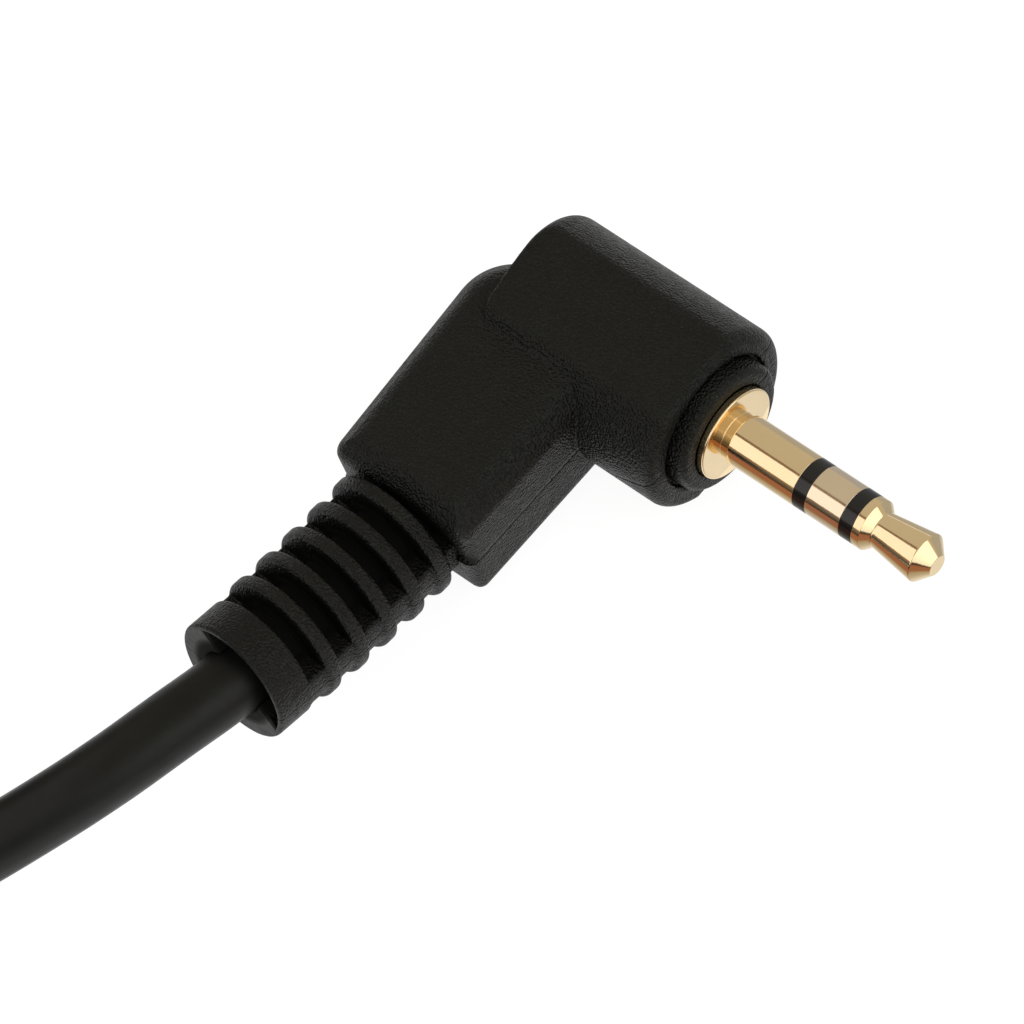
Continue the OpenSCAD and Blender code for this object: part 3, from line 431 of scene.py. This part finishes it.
def make_jack():
    """The sleeve with its flange, the ring, the tip and the black insulators between them."""
    return {
        "jack_sleeve": lathe("sleeve_contact", [
            (BOSS_FACE - BARREL_L, JACK_BORE, 0), (BOSS_FACE - BARREL_L, BARREL_R, 0.02),
            (FLANGE_BACK, BARREL_R, 0.03), (FLANGE_BACK, FLANGE_R, 0.08), (FLANGE_FACE, FLANGE_R, 0.08),
            (FLANGE_FACE, NECK_R, 0.03), (SLEEVE_START, NECK_R, 0.03), (SLEEVE_START, JACK_R, 0.05),
            (SLEEVE_END, JACK_R, 0.03), (SLEEVE_END, JACK_BORE, 0),
        ]),
        "ring_insulator": plain_ring("rear_insulator", SLEEVE_END, RING_START, 0.02),
        "jack_ring": plain_ring("ring_contact", RING_START, RING_END, 0.03),
        "tip_insulator": plain_ring("front_insulator", RING_END, TIP_START, 0.02),
        "jack_tip": lathe("tip_contact", [
            (TIP_START, 0.02, 0), (TIP_START, JACK_R, 0.03), (TIP_SHOULDER, JACK_R, 0.05),
            (TIP_WAIST, WAIST_R, 0.12), (TIP_CONE, CONE_R, 0.1), (TIP_END, END_R, 0.1), (TIP_END, 0, 0),
        ]),
    }


# ======== Materials


class Nodes:
    """A node tree, and short ways to add to it."""

    def __init__(self, owner, empty=True):
        owner.use_nodes = True
        self.tree = owner.node_tree
        if empty:
            self.tree.nodes.clear()

    def add(self, kind, **settings):
        node = self.tree.nodes.new(kind)
        for key, value in settings.items():
            setattr(node, key, value)
        return node

    def link(self, output, socket):
        self.tree.links.new(output, socket)

    def math(self, operation, a, b=None):
        """Result of a Math node, whose operands are numbers or sockets."""
        node = self.add("ShaderNodeMath", operation=operation)
        for socket, value in zip(node.inputs, (a, b)):
            if value is None:
                continue
            if isinstance(value, (int, float)):
                socket.default_value = value
            else:
                self.link(value, socket)
        return node.outputs[0]

    def range(self, source, low, high, to_low=0, to_high=1, smooth=False):
        """The source from low to high, taken to another range and held at its ends."""
        node = self.add("ShaderNodeMapRange")
        if smooth:
            node.interpolation_type = "SMOOTHSTEP"
        for key, value in {"From Min": low, "From Max": high, "To Min": to_low, "To Max": to_high}.items():
            node.inputs[key].default_value = value
        self.link(source, node.inputs["Value"])
        return node.outputs["Result"]

    def ramp(self, source, stops):
        """Colour ramp of (place, colour) stops."""
        node = self.add("ShaderNodeValToRGB")
        while len(node.color_ramp.elements) < len(stops):
            node.color_ramp.elements.new(0.5)
        for element, (place, colour) in zip(node.color_ramp.elements, stops):
            element.position, element.color = place, (*colour, 1)
        self.link(source, node.inputs[0])
        return node.outputs[0]


class Shader(Nodes):
    """A material's nodes, with its Principled shader and the piece's own coordinates in millimetres."""

    def __init__(self, name, colour, roughness, **sockets):
        self.material = bpy.data.materials.new(name)
        super().__init__(self.material, empty=False)
        self.principled = self.tree.nodes["Principled BSDF"]
        self.principled.inputs["Base Color"].default_value = (*colour, 1)
        self.principled.inputs["Roughness"].default_value = roughness
        for key, value in sockets.items():
            self.principled.inputs[key.replace("_", " ")].default_value = value
        self.coordinates = self.add("ShaderNodeVectorMath", operation="SCALE")
        self.coordinates.inputs["Scale"].default_value = 1 / MM
        self.link(self.add("ShaderNodeTexCoord").outputs["Object"], self.coordinates.inputs[0])

    def noise(self, per_mm, detail=2, stretch=None):
        """Noise from 0 to 1, with that many waves to a millimetre."""
        node = self.add("ShaderNodeTexNoise")
        node.inputs["Scale"].default_value = per_mm
        node.inputs["Detail"].default_value = detail
        source = self.coordinates.outputs[0]
        if stretch:
            scaled = self.add("ShaderNodeVectorMath", operation="MULTIPLY")
            scaled.inputs[1].default_value = stretch
            self.link(source, scaled.inputs[0])
            source = scaled.outputs[0]
        self.link(source, node.inputs["Vector"])
        return node.outputs["Fac"]

    def spread(self, noise, to_low, to_high):
        """A noise's usual values, from 0.3 to 0.7, taken to another range."""
        return self.range(noise, 0.3, 0.7, to_low, to_high)

    def axis(self, name):
        """One of the coordinates."""
        split = self.add("ShaderNodeSeparateXYZ")
        self.link(self.coordinates.outputs[0], split.inputs[0])
        return split.outputs[name]

    def attribute(self, name):
        return self.add("ShaderNodeAttribute", attribute_name=name).outputs["Fac"]

    def colours(self, source, *stops):
        self.link(self.ramp(source, stops), self.principled.inputs["Base Color"])

    def roughness(self, noise, low, high):
        self.link(self.spread(noise, low, high), self.principled.inputs["Roughness"])

    def bump(self, *heights):
        """Bumps of (height source, depth in mm), one on another, into the normal."""
        normal = None
        for source, depth in heights:
            node = self.add("ShaderNodeBump")
            node.inputs["Strength"].default_value = 1
            node.inputs["Distance"].default_value = depth * MM
            self.link(source, node.inputs["Height"])
            if normal:
                self.link(normal, node.inputs["Normal"])
            normal = node.outputs["Normal"]
        self.link(normal, self.principled.inputs["Normal"])


def times(colour, share):
    return tuple(c * share for c in colour)


BLACK = (0.0025, 0.0033, 0.0024)
GRAIN_WAVES, GRAIN_DETAIL, GRAIN_DEPTH = 9, 0.5, 0.125
UNEVEN_WAVES, UNEVEN_DEPTH = 2.2, 0.02
MOTTLE_WAVES, MOTTLE_SHADE = 0.5, 0.12
# Cells to a millimetre, a speck's inner and outer radius in cells, and the share of cells without one
DUST_CELLS, DUST_R, DUST_EDGE, DUST_SPARED = 1.6, 0.03, 0.05, 0.82
DUST_SHADE, DUST = 0.8, (0.12, 0.12, 0.11)
PVC_SPECULAR = 0.25
# Of the grain's noise: from, to, and the shades that it makes there, in the grain and on the edges,
# where the lighter shades are wear and a painted highlight
GRAIN_SHADE, EDGE_WEAR_AND_HIGHLIGHT_SHADE = (0.35, 0.65, -0.1, 0.1), (0.3, 0.6, 0.08, 0.17)
# The grain's lighter stop and its share of black, and the share of black of the painted shade in the slots
LIGHT_AT, LIGHT_SHARE, PAINTED_SLOT_SHADE = 0.3, 2.4, 0.3
SEAM_DEPTH = 0.14
# Painted light on the relief's end face, and the roughness in its slots
PAINTED_END_LIGHT, SLOT_ROUGHNESS = 0.1, 0.9


def dust(s):
    """1 on a few small specks, and 0 elsewhere."""
    cells = s.add("ShaderNodeTexVoronoi")
    cells.inputs["Scale"].default_value = DUST_CELLS
    s.link(s.coordinates.outputs[0], cells.inputs["Vector"])
    speck = s.range(cells.outputs["Distance"], DUST_R, DUST_EDGE, 1, 0, smooth=True)
    chosen = s.add("ShaderNodeSeparateColor")
    s.link(cells.outputs["Color"], chosen.inputs[0])
    return s.math("MULTIPLY", speck, s.math("GREATER_THAN", chosen.outputs[0], DUST_SPARED))


def pvc(name, roughness=0.44, grain=1, seam=None, ribbed=False):
    """Black moulded PVC: grain, faint mottling, edges lighter by wear and a painted highlight,
    specks of dust, a parting line.

    Where it is ribbed, painted shade darkens the slots against the rib tops, and the end face is smooth
    and painted lighter.
    """
    s = Shader(name, BLACK, roughness, Specular_IOR_Level=PVC_SPECULAR)
    fine = s.noise(GRAIN_WAVES, GRAIN_DETAIL)
    uneven = s.noise(UNEVEN_WAVES, 3)
    mottle = s.spread(s.noise(MOTTLE_WAVES, 3), 0, MOTTLE_SHADE)
    shade = s.math("ADD", mottle, s.range(fine, *GRAIN_SHADE))
    # Edges lighter by wear and a painted highlight, flecked by the grain
    edge_wear_and_highlight = s.math("MULTIPLY", s.attribute("edge_wear_and_highlight"), s.range(fine, *EDGE_WEAR_AND_HIGHLIGHT_SHADE))
    shade = s.math("ADD", shade, edge_wear_and_highlight)
    rough = s.spread(uneven, roughness - 0.05, roughness + 0.06)
    if seam:
        groove = seam(s)
        shade = s.math("MULTIPLY", shade, groove)
    if ribbed:
        raised, end_face = s.attribute("raised"), s.attribute("end_face")
        # Painted shade darkens the slots; painted light brightens the end face
        shade = s.math("ADD", s.math("MULTIPLY", shade, raised), s.math("MULTIPLY", end_face, PAINTED_END_LIGHT))
        fine = s.math("MULTIPLY", fine, s.math("MULTIPLY", s.math("SUBTRACT", 1.0, end_face), raised))
        rough = s.math("MAXIMUM", rough, s.range(raised, 0.2, 0.7, SLOT_ROUGHNESS, 0))
    shade = s.math("ADD", shade, s.math("MULTIPLY", dust(s), DUST_SHADE))
    # Painted shade: the slots' darkest colour is a darker black
    darkest = times(BLACK, PAINTED_SLOT_SHADE) if ribbed else BLACK
    s.colours(shade, (0, darkest), (LIGHT_AT, times(BLACK, LIGHT_SHARE)), (1, DUST))
    s.link(rough, s.principled.inputs["Roughness"])
    heights = [(fine, GRAIN_DEPTH * grain), (uneven, UNEVEN_DEPTH * grain)]
    if seam:
        heights.append((groove, SEAM_DEPTH))
    s.bump(*heights)
    return s.material


# The head's parting line starts at this P, and rises from the low height to the high one
SEAM_START, SEAM_LOW, SEAM_HIGH = 4.4, -1.2, 0.9
# How far from its middle a parting line's groove starts to rise, and where it ends
SEAM_HALF, RELIEF_SEAM_HALF = (0.04, 0.14), (0.02, 0.07)


def level_seam(s):
    """0 in the parting line of the plug's body and 1 off it. It is level along the arm."""
    ahead = s.math("SUBTRACT", s.axis("X"), PLUG_AT.x / MM)
    on_head = s.math("GREATER_THAN", ahead, SEAM_START)
    rise = s.math("MULTIPLY", s.range(ahead, SEAM_START, HEAD_FRONT, SEAM_LOW, SEAM_HIGH), on_head)
    height = s.math("SUBTRACT", s.axis("Z"), PLUG_AT.z / MM)
    off = s.math("ABSOLUTE", s.math("SUBTRACT", height, rise))
    return s.range(off, *SEAM_HALF, smooth=True)


def relief_seam(s):
    """0 in the parting line along the relief's sides and 1 off it."""
    return s.range(s.math("ABSOLUTE", s.attribute("seam_up")), *RELIEF_SEAM_HALF, smooth=True)


def gold(name, colour):
    """Polished gold plating with faint turning marks and a little wear."""
    s = Shader(name, colour, 0.1, Metallic=1.0)
    turning = s.noise(14, 2, stretch=(1, 0.03, 0.03))
    haze = s.noise(0.8, 3)
    s.colours(s.spread(haze, 0, 1), (0, times(colour, 0.96)), (1, colour))
    s.roughness(haze, 0.06, 0.12)
    s.bump((turning, 0.0006), (s.noise(3, 2), 0.0015))
    return s.material


def plain_metal(name, colour, roughness, depth=0.0015):
    """Bare or plated metal with a fine grain and slight tarnish."""
    s = Shader(name, colour, roughness, Metallic=1.0)
    grain = s.noise(5, 3)
    s.colours(s.spread(s.noise(0.7, 3), 0, 1), (0, times(colour, 0.86)), (1, colour))
    s.roughness(grain, roughness - 0.05, roughness + 0.08)
    s.bump((grain, depth))
    return s.material


# The groove where two shells meet, in the same way, and its depth
JOINT_HALF, JOINT_DEPTH = (0.08, 0.22), 0.15


def plain_plastic(name, colour, roughness, per_mm=4.0, depth=0.02, spread=0.12, joint_z=None):
    """Moulded plastic with a fine grain and slight colour variation, and a groove at a level joint."""
    s = Shader(name, colour, roughness)
    cloud = s.spread(s.noise(0.35, 3), 0, 1)
    s.colours(cloud, (0, times(colour, 1 - spread)), (1, times(colour, 1 + spread)))
    s.roughness(s.noise(1.2, 3), roughness - 0.04, roughness + 0.05)
    heights = [(s.noise(per_mm, 1), depth), (s.noise(0.9, 2), depth / 3)]
    if joint_z:
        off = s.math("ABSOLUTE", s.math("SUBTRACT", s.axis("Z"), joint_z))
        heights.append((s.range(off, *JOINT_HALF, smooth=True), JOINT_DEPTH))
    s.bump(*heights)
    return s.material


def cord_pvc():
    """Satin extruded jacket: faint mottling, shallow waves and hardly any grain."""
    s = Shader("cord_jacket", BLACK, 0.44, Specular_IOR_Level=0.27)
    s.colours(s.spread(s.noise(0.6, 3), 0, 1), (0, times(BLACK, 0.8)), (1, times(BLACK, 1.5)))
    s.roughness(s.noise(1.1, 3), 0.4, 0.48)
    s.bump((s.noise(9, 2), 0.002), (s.noise(1.4, 2), 0.006))
    return s.material


def wires():
    """Insulation of the three wires side by side: red, white and black."""
    s = Shader("wire_insulation", (0.4, 0.02, 0.02), 0.45)
    s.colours(s.range(s.axis("X"), -2, 2), (0, (0.5, 0.02, 0.02)), (0.4, (0.75, 0.73, 0.7)),
              (0.62, (0.012, 0.012, 0.012)))
    s.bump((s.noise(5, 2), 0.004))
    return s.material


def dress(piece, material):
    piece.data.materials.clear()
    piece.data.materials.append(material)


# ======== The plug's pieces in place of the CAD's

jacket = cord_pvc()
insulator = plain_plastic("black_insulator", (0.006, 0.006, 0.0065), 0.16, per_mm=6, depth=0.0015)
gold_plating = gold("gold_plating", (0.98, 0.78, 0.48))
pale_gold = gold("pale_gold_plating", (0.93, 0.78, 0.58))

overmould = make_plug_body()
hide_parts("plug_body")
dress(overmould, pvc("plug_pvc", seam=level_seam))
ribbed_relief = make_relief()
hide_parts("plug_strain_relief")
dress(ribbed_relief, pvc("relief_pvc", seam=relief_seam, ribbed=True))
jack = make_jack()
for node, piece in jack.items():
    black = "insulator" in node
    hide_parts(node)
    dress(piece, insulator if black else pale_gold if node == "jack_ring" else gold_plating)
for piece in (overmould, ribbed_relief, *jack.values()):
    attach(piece, "root")
dress(cord, jacket)

# ======== CAD nodes that stay, with their materials

CASE_JOINT = 8.5
CASE_COLOUR = (0.009, 0.0095, 0.0095)

NODE_MATERIALS = {
    plain_plastic("case_plastic", CASE_COLOUR, 0.46, per_mm=3.2, depth=0.04, joint_z=CASE_JOINT):
        ("case_bottom", "case_top"),
    plain_plastic("button_plastic", (0.27, 0.275, 0.285), 0.38, depth=0.006, spread=0.04):
        ("release_button",),
    plain_plastic("slider_plastic", (0.03, 0.031, 0.034), 0.45, per_mm=3.5): ("lock_slider",),
    plain_plastic("base_plastic", (0.66, 0.62, 0.53), 0.5, per_mm=2.5, depth=0.01, spread=0.05):
        ("contact_base", "inner_mould"),
    plain_plastic("spacer_laminate", (0.3, 0.11, 0.035), 0.55, per_mm=2, depth=0.01): ("leaf_spacers",),
    plain_metal("plated_steel", (0.72, 0.72, 0.73), 0.28):
        ("leaf_clamp_plate", "leaf_screws", "cord_clamp", "cord_clamp_screws", "ring_terminal",
         "sleeve_terminal"),
    plain_metal("screw_steel", (0.12, 0.12, 0.125), 0.35): ("case_screws",),
    plain_metal("solder", (0.6, 0.6, 0.6), 0.35, depth=0.02): ("handset_solder", "plug_solder"),
    pvc("boot_pvc", roughness=0.5, grain=0.8): ("handset_strain_relief",),
    jacket: ("cord_end_handset", "cord_end_plug"),
    wires(): ("handset_wires", "plug_wires"),
}
for material, names in NODE_MATERIALS.items():
    for name in names:
        dress(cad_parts[name], material)

# ======== Contact leaves: each copied and cut across between its tip and its clamp

contact_metal = plain_metal("contact_metal", (0.78, 0.56, 0.25), 0.25)
CLAMP_Y, CONTACT_Y, LEAF_TIP_Y = 2.0, -16.0, -18.0
LEAF_CUTS = 11
# How much of the button's travel each leaf's contact makes
LEAF_TRAVEL = {"common_leaf": 0.889, "focus_leaf": 0.556, "shutter_leaf": 0.222}


def make_leaf(node):
    """A copy of a leaf, cut across at even steps between its tip and its clamp, in place of the CAD's."""
    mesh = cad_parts[node].data.copy()
    leaf = bpy.data.objects.new(node + "_spring", mesh)
    scene.collection.objects.link(leaf)
    edit = bmesh.new()
    edit.from_mesh(mesh)
    bmesh.ops.remove_doubles(edit, verts=edit.verts, dist=1e-6)
    for y in np.linspace(LEAF_TIP_Y, CLAMP_Y, LEAF_CUTS + 2)[1:-1]:
        bmesh.ops.bisect_plane(edit, geom=edit.verts[:] + edit.edges[:] + edit.faces[:],
                               plane_co=(0, y * MM, 0), plane_no=(0, 1, 0))
    edit.to_mesh(mesh)
    edit.free()
    mesh.shade_flat()
    dress(leaf, contact_metal)
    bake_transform(leaf)
    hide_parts(node)


for node, share in LEAF_TRAVEL.items():
    make_leaf(node)

# ======== Studio


def flat_sheet(name, x, y, z=0):
    """A level rectangle that isn't part of the object, and its material's nodes."""
    mesh = bpy.data.meshes.new(name)
    mesh.from_pydata([(-x, -y, z), (x, -y, z), (x, y, z), (-x, y, z)], [], [(0, 1, 2, 3)])
    sheet = bpy.data.objects.new(name, mesh)
    scene.collection.objects.link(sheet)
    material = bpy.data.materials.new(name)
    mesh.materials.append(material)
    return sheet, Nodes(material)


TABLE_HALF = 6000
TABLE_DROP = 0.02       # keeps the table's surface clear of the faces that lie on it
TABLE_COLOUR = (0.86, 0.86, 0.86, 1)
TABLE_GLOW, GLOW_SHARE = 1.22, 0.75
# What the pin mirrors in the table beside it, by distance towards +Y from the pin's axis
MIRRORED = [
    (-48, (0.05, 0.035, 0.03)), (-28, (0.33, 0.14, 0.08)), (-7.5, (0.33, 0.155, 0.1)),
    (-6, (0.4, 0.34, 0.22)), (-3.6, (0.5, 0.47, 0.44)), (-1, (0.85, 0.85, 0.85)),
    (3, (0.8, 0.8, 0.8)), (6.5, (0.42, 0.42, 0.42)),
]
# The X where the pin's mirroring of the card starts, and how far on it is whole
MIRROR_START, MIRROR_EDGE = 96.6, 0.6
MIRROR_SLACK = 1.2      # how much shorter a ray may be than the way to the pin's axis


def from_the_pin(g, place, across, length):
    """1 where a mirror ray that arrives on the table has left the pin, and 0 where it hasn't.

    The pin lies along X, so in the photograph's view each mirror ray from it runs towards -X by one
    share of its length. That gives the X that it left from, if it is as long as the pin is far.
    """
    left_from = g.math("ADD", place.outputs["X"], g.math("MULTIPLY", length, CAMERA_BACK.x))
    beside = g.range(left_from, MIRROR_START * MM, (MIRROR_START + MIRROR_EDGE) * MM)
    squares = g.math("ADD", g.math("MULTIPLY", across, across), PLUG_AT.z ** 2)
    past_axis = g.math("SUBTRACT", length, g.math("SQRT", squares))
    return g.math("MULTIPLY", beside, g.math("GREATER_THAN", past_axis, -MIRROR_SLACK * MM))


def make_table():
    """Pale table. Camera and mirror rays see it nearly white, with the object's shadow on it.

    Mirror rays that come from the pin see a toned card instead, which gives the gold its bands.
    """
    _, g = flat_sheet("table", TABLE_HALF * MM, TABLE_HALF * MM, -TABLE_DROP * MM)
    place = g.add("ShaderNodeSeparateXYZ")
    g.link(g.add("ShaderNodeTexCoord").outputs["Object"], place.inputs[0])
    across = g.math("SUBTRACT", place.outputs["Y"], PLUG_AT.y)
    path = g.add("ShaderNodeLightPath")
    camera_ray, mirror_ray = path.outputs["Is Camera Ray"], path.outputs["Is Glossy Ray"]

    cloth, white, card = (g.add(kind) for kind in
                          ("ShaderNodeBsdfDiffuse", "ShaderNodeEmission", "ShaderNodeEmission"))
    cloth.inputs["Color"].default_value = TABLE_COLOUR
    white.inputs["Strength"].default_value = TABLE_GLOW
    low, high = MIRRORED[0][0], MIRRORED[-1][0]
    stops = [((at - low) / (high - low), colour) for at, colour in MIRRORED]
    g.link(g.ramp(g.range(across, low * MM, high * MM), stops), card.inputs["Color"])

    def mixed(factor, first, second):
        mix = g.add("ShaderNodeMixShader")
        if isinstance(factor, float):
            mix.inputs[0].default_value = factor
        else:
            g.link(factor, mix.inputs[0])
        g.link(first.outputs[0], mix.inputs[1])
        g.link(second.outputs[0], mix.inputs[2])
        return mix

    seen = mixed(GLOW_SHARE, cloth, white)
    toned = g.math("MULTIPLY", from_the_pin(g, place, across, path.outputs["Ray Length"]), mirror_ray)
    mirrored = mixed(toned, seen, card)
    chosen = mixed(g.math("MAXIMUM", camera_ray, mirror_ray), cloth, mirrored)
    g.link(chosen.outputs[0], g.add("ShaderNodeOutputMaterial").inputs["Surface"])


ROOM_BRIGHT, ROOM_DARK = 0.53, 0.12
ROOM_LEAN, LEAN_SPAN = (0, 0.8, 1.6), (-0.35, 0.65)     # which way is bright, and where it changes
NEUTRAL_ROOM, MIRRORED_ROOM = (1, 1, 1, 1), (1, 0.91, 0.76, 1)
# A Mix node's sockets for A and B, of numbers and of colours, and its colour result
NUMBER_A, NUMBER_B, COLOUR_A, COLOUR_B, COLOUR_OUT = 2, 3, 6, 7, 2


def make_world():
    """Grey room, brighter overhead and on the far side, darker towards -Y, and white to the camera."""
    scene.world = bpy.data.worlds.new("room")
    g = Nodes(scene.world)
    lean = g.add("ShaderNodeVectorMath", operation="DOT_PRODUCT")
    lean.inputs[1].default_value = ROOM_LEAN
    g.link(g.add("ShaderNodeTexCoord").outputs["Generated"], lean.inputs[0])
    path = g.add("ShaderNodeLightPath")
    strength, tone = g.add("ShaderNodeMix"), g.add("ShaderNodeMix", data_type="RGBA")
    g.link(path.outputs["Is Camera Ray"], strength.inputs["Factor"])
    brightness = g.range(lean.outputs["Value"], *LEAN_SPAN, ROOM_DARK, ROOM_BRIGHT)
    g.link(brightness, strength.inputs[NUMBER_A])
    strength.inputs[NUMBER_B].default_value = 1
    g.link(path.outputs["Is Glossy Ray"], tone.inputs["Factor"])
    tone.inputs[COLOUR_A].default_value = NEUTRAL_ROOM
    tone.inputs[COLOUR_B].default_value = MIRRORED_ROOM
    background = g.add("ShaderNodeBackground")
    g.link(tone.outputs[COLOUR_OUT], background.inputs["Color"])
    g.link(strength.outputs[0], background.inputs["Strength"])
    g.link(background.outputs[0], g.add("ShaderNodeOutputWorld").inputs["Surface"])


BORDER_COLOUR, BORDER_BEHIND = (0.24, 0.17, 0.12, 1), 10


def softbox(name, way, distance, size, radiance, border=None):
    """Area light of one brightness that shines at the plug from a direction.

    Its distance, size and border are in metres. A border is a dark sheet behind the light that reaches
    that far past its edges, so that mirrors show a dark frame round it.
    """
    data = bpy.data.lights.new(name, "AREA")
    data.shape = "RECTANGLE"
    data.size, data.size_y = size
    data.energy = radiance * math.pi * size[0] * size[1]
    light = bpy.data.objects.new(name, data)
    way = Vector(way).normalized()
    light.location = PLUG_AT + way * distance
    light.rotation_euler = way.to_track_quat("Z", "Y").to_euler()
    light.visible_camera = False
    scene.collection.objects.link(light)
    if border is None:
        return
    sheet, g = flat_sheet(name + "_frame", size[0] / 2 + border, size[1] / 2 + border)
    sheet.location = light.location + way * BORDER_BEHIND * MM
    sheet.rotation_euler = light.rotation_euler
    sheet.visible_camera = False
    glow = g.add("ShaderNodeEmission")
    glow.inputs["Color"].default_value = BORDER_COLOUR
    g.link(glow.outputs[0], g.add("ShaderNodeOutputMaterial").inputs["Surface"])


make_table()
make_world()
softbox("key", way=(-0.43, -0.629, 0.622), distance=0.9, size=(1.6, 0.72), radiance=0.92, border=0.16)
softbox("fill", way=(0.86, 0, 0.5), distance=1.1, size=(1.9, 1.1), radiance=0.92)

scene.view_settings.view_transform = "Standard"

bpy.context.view_layer.update()
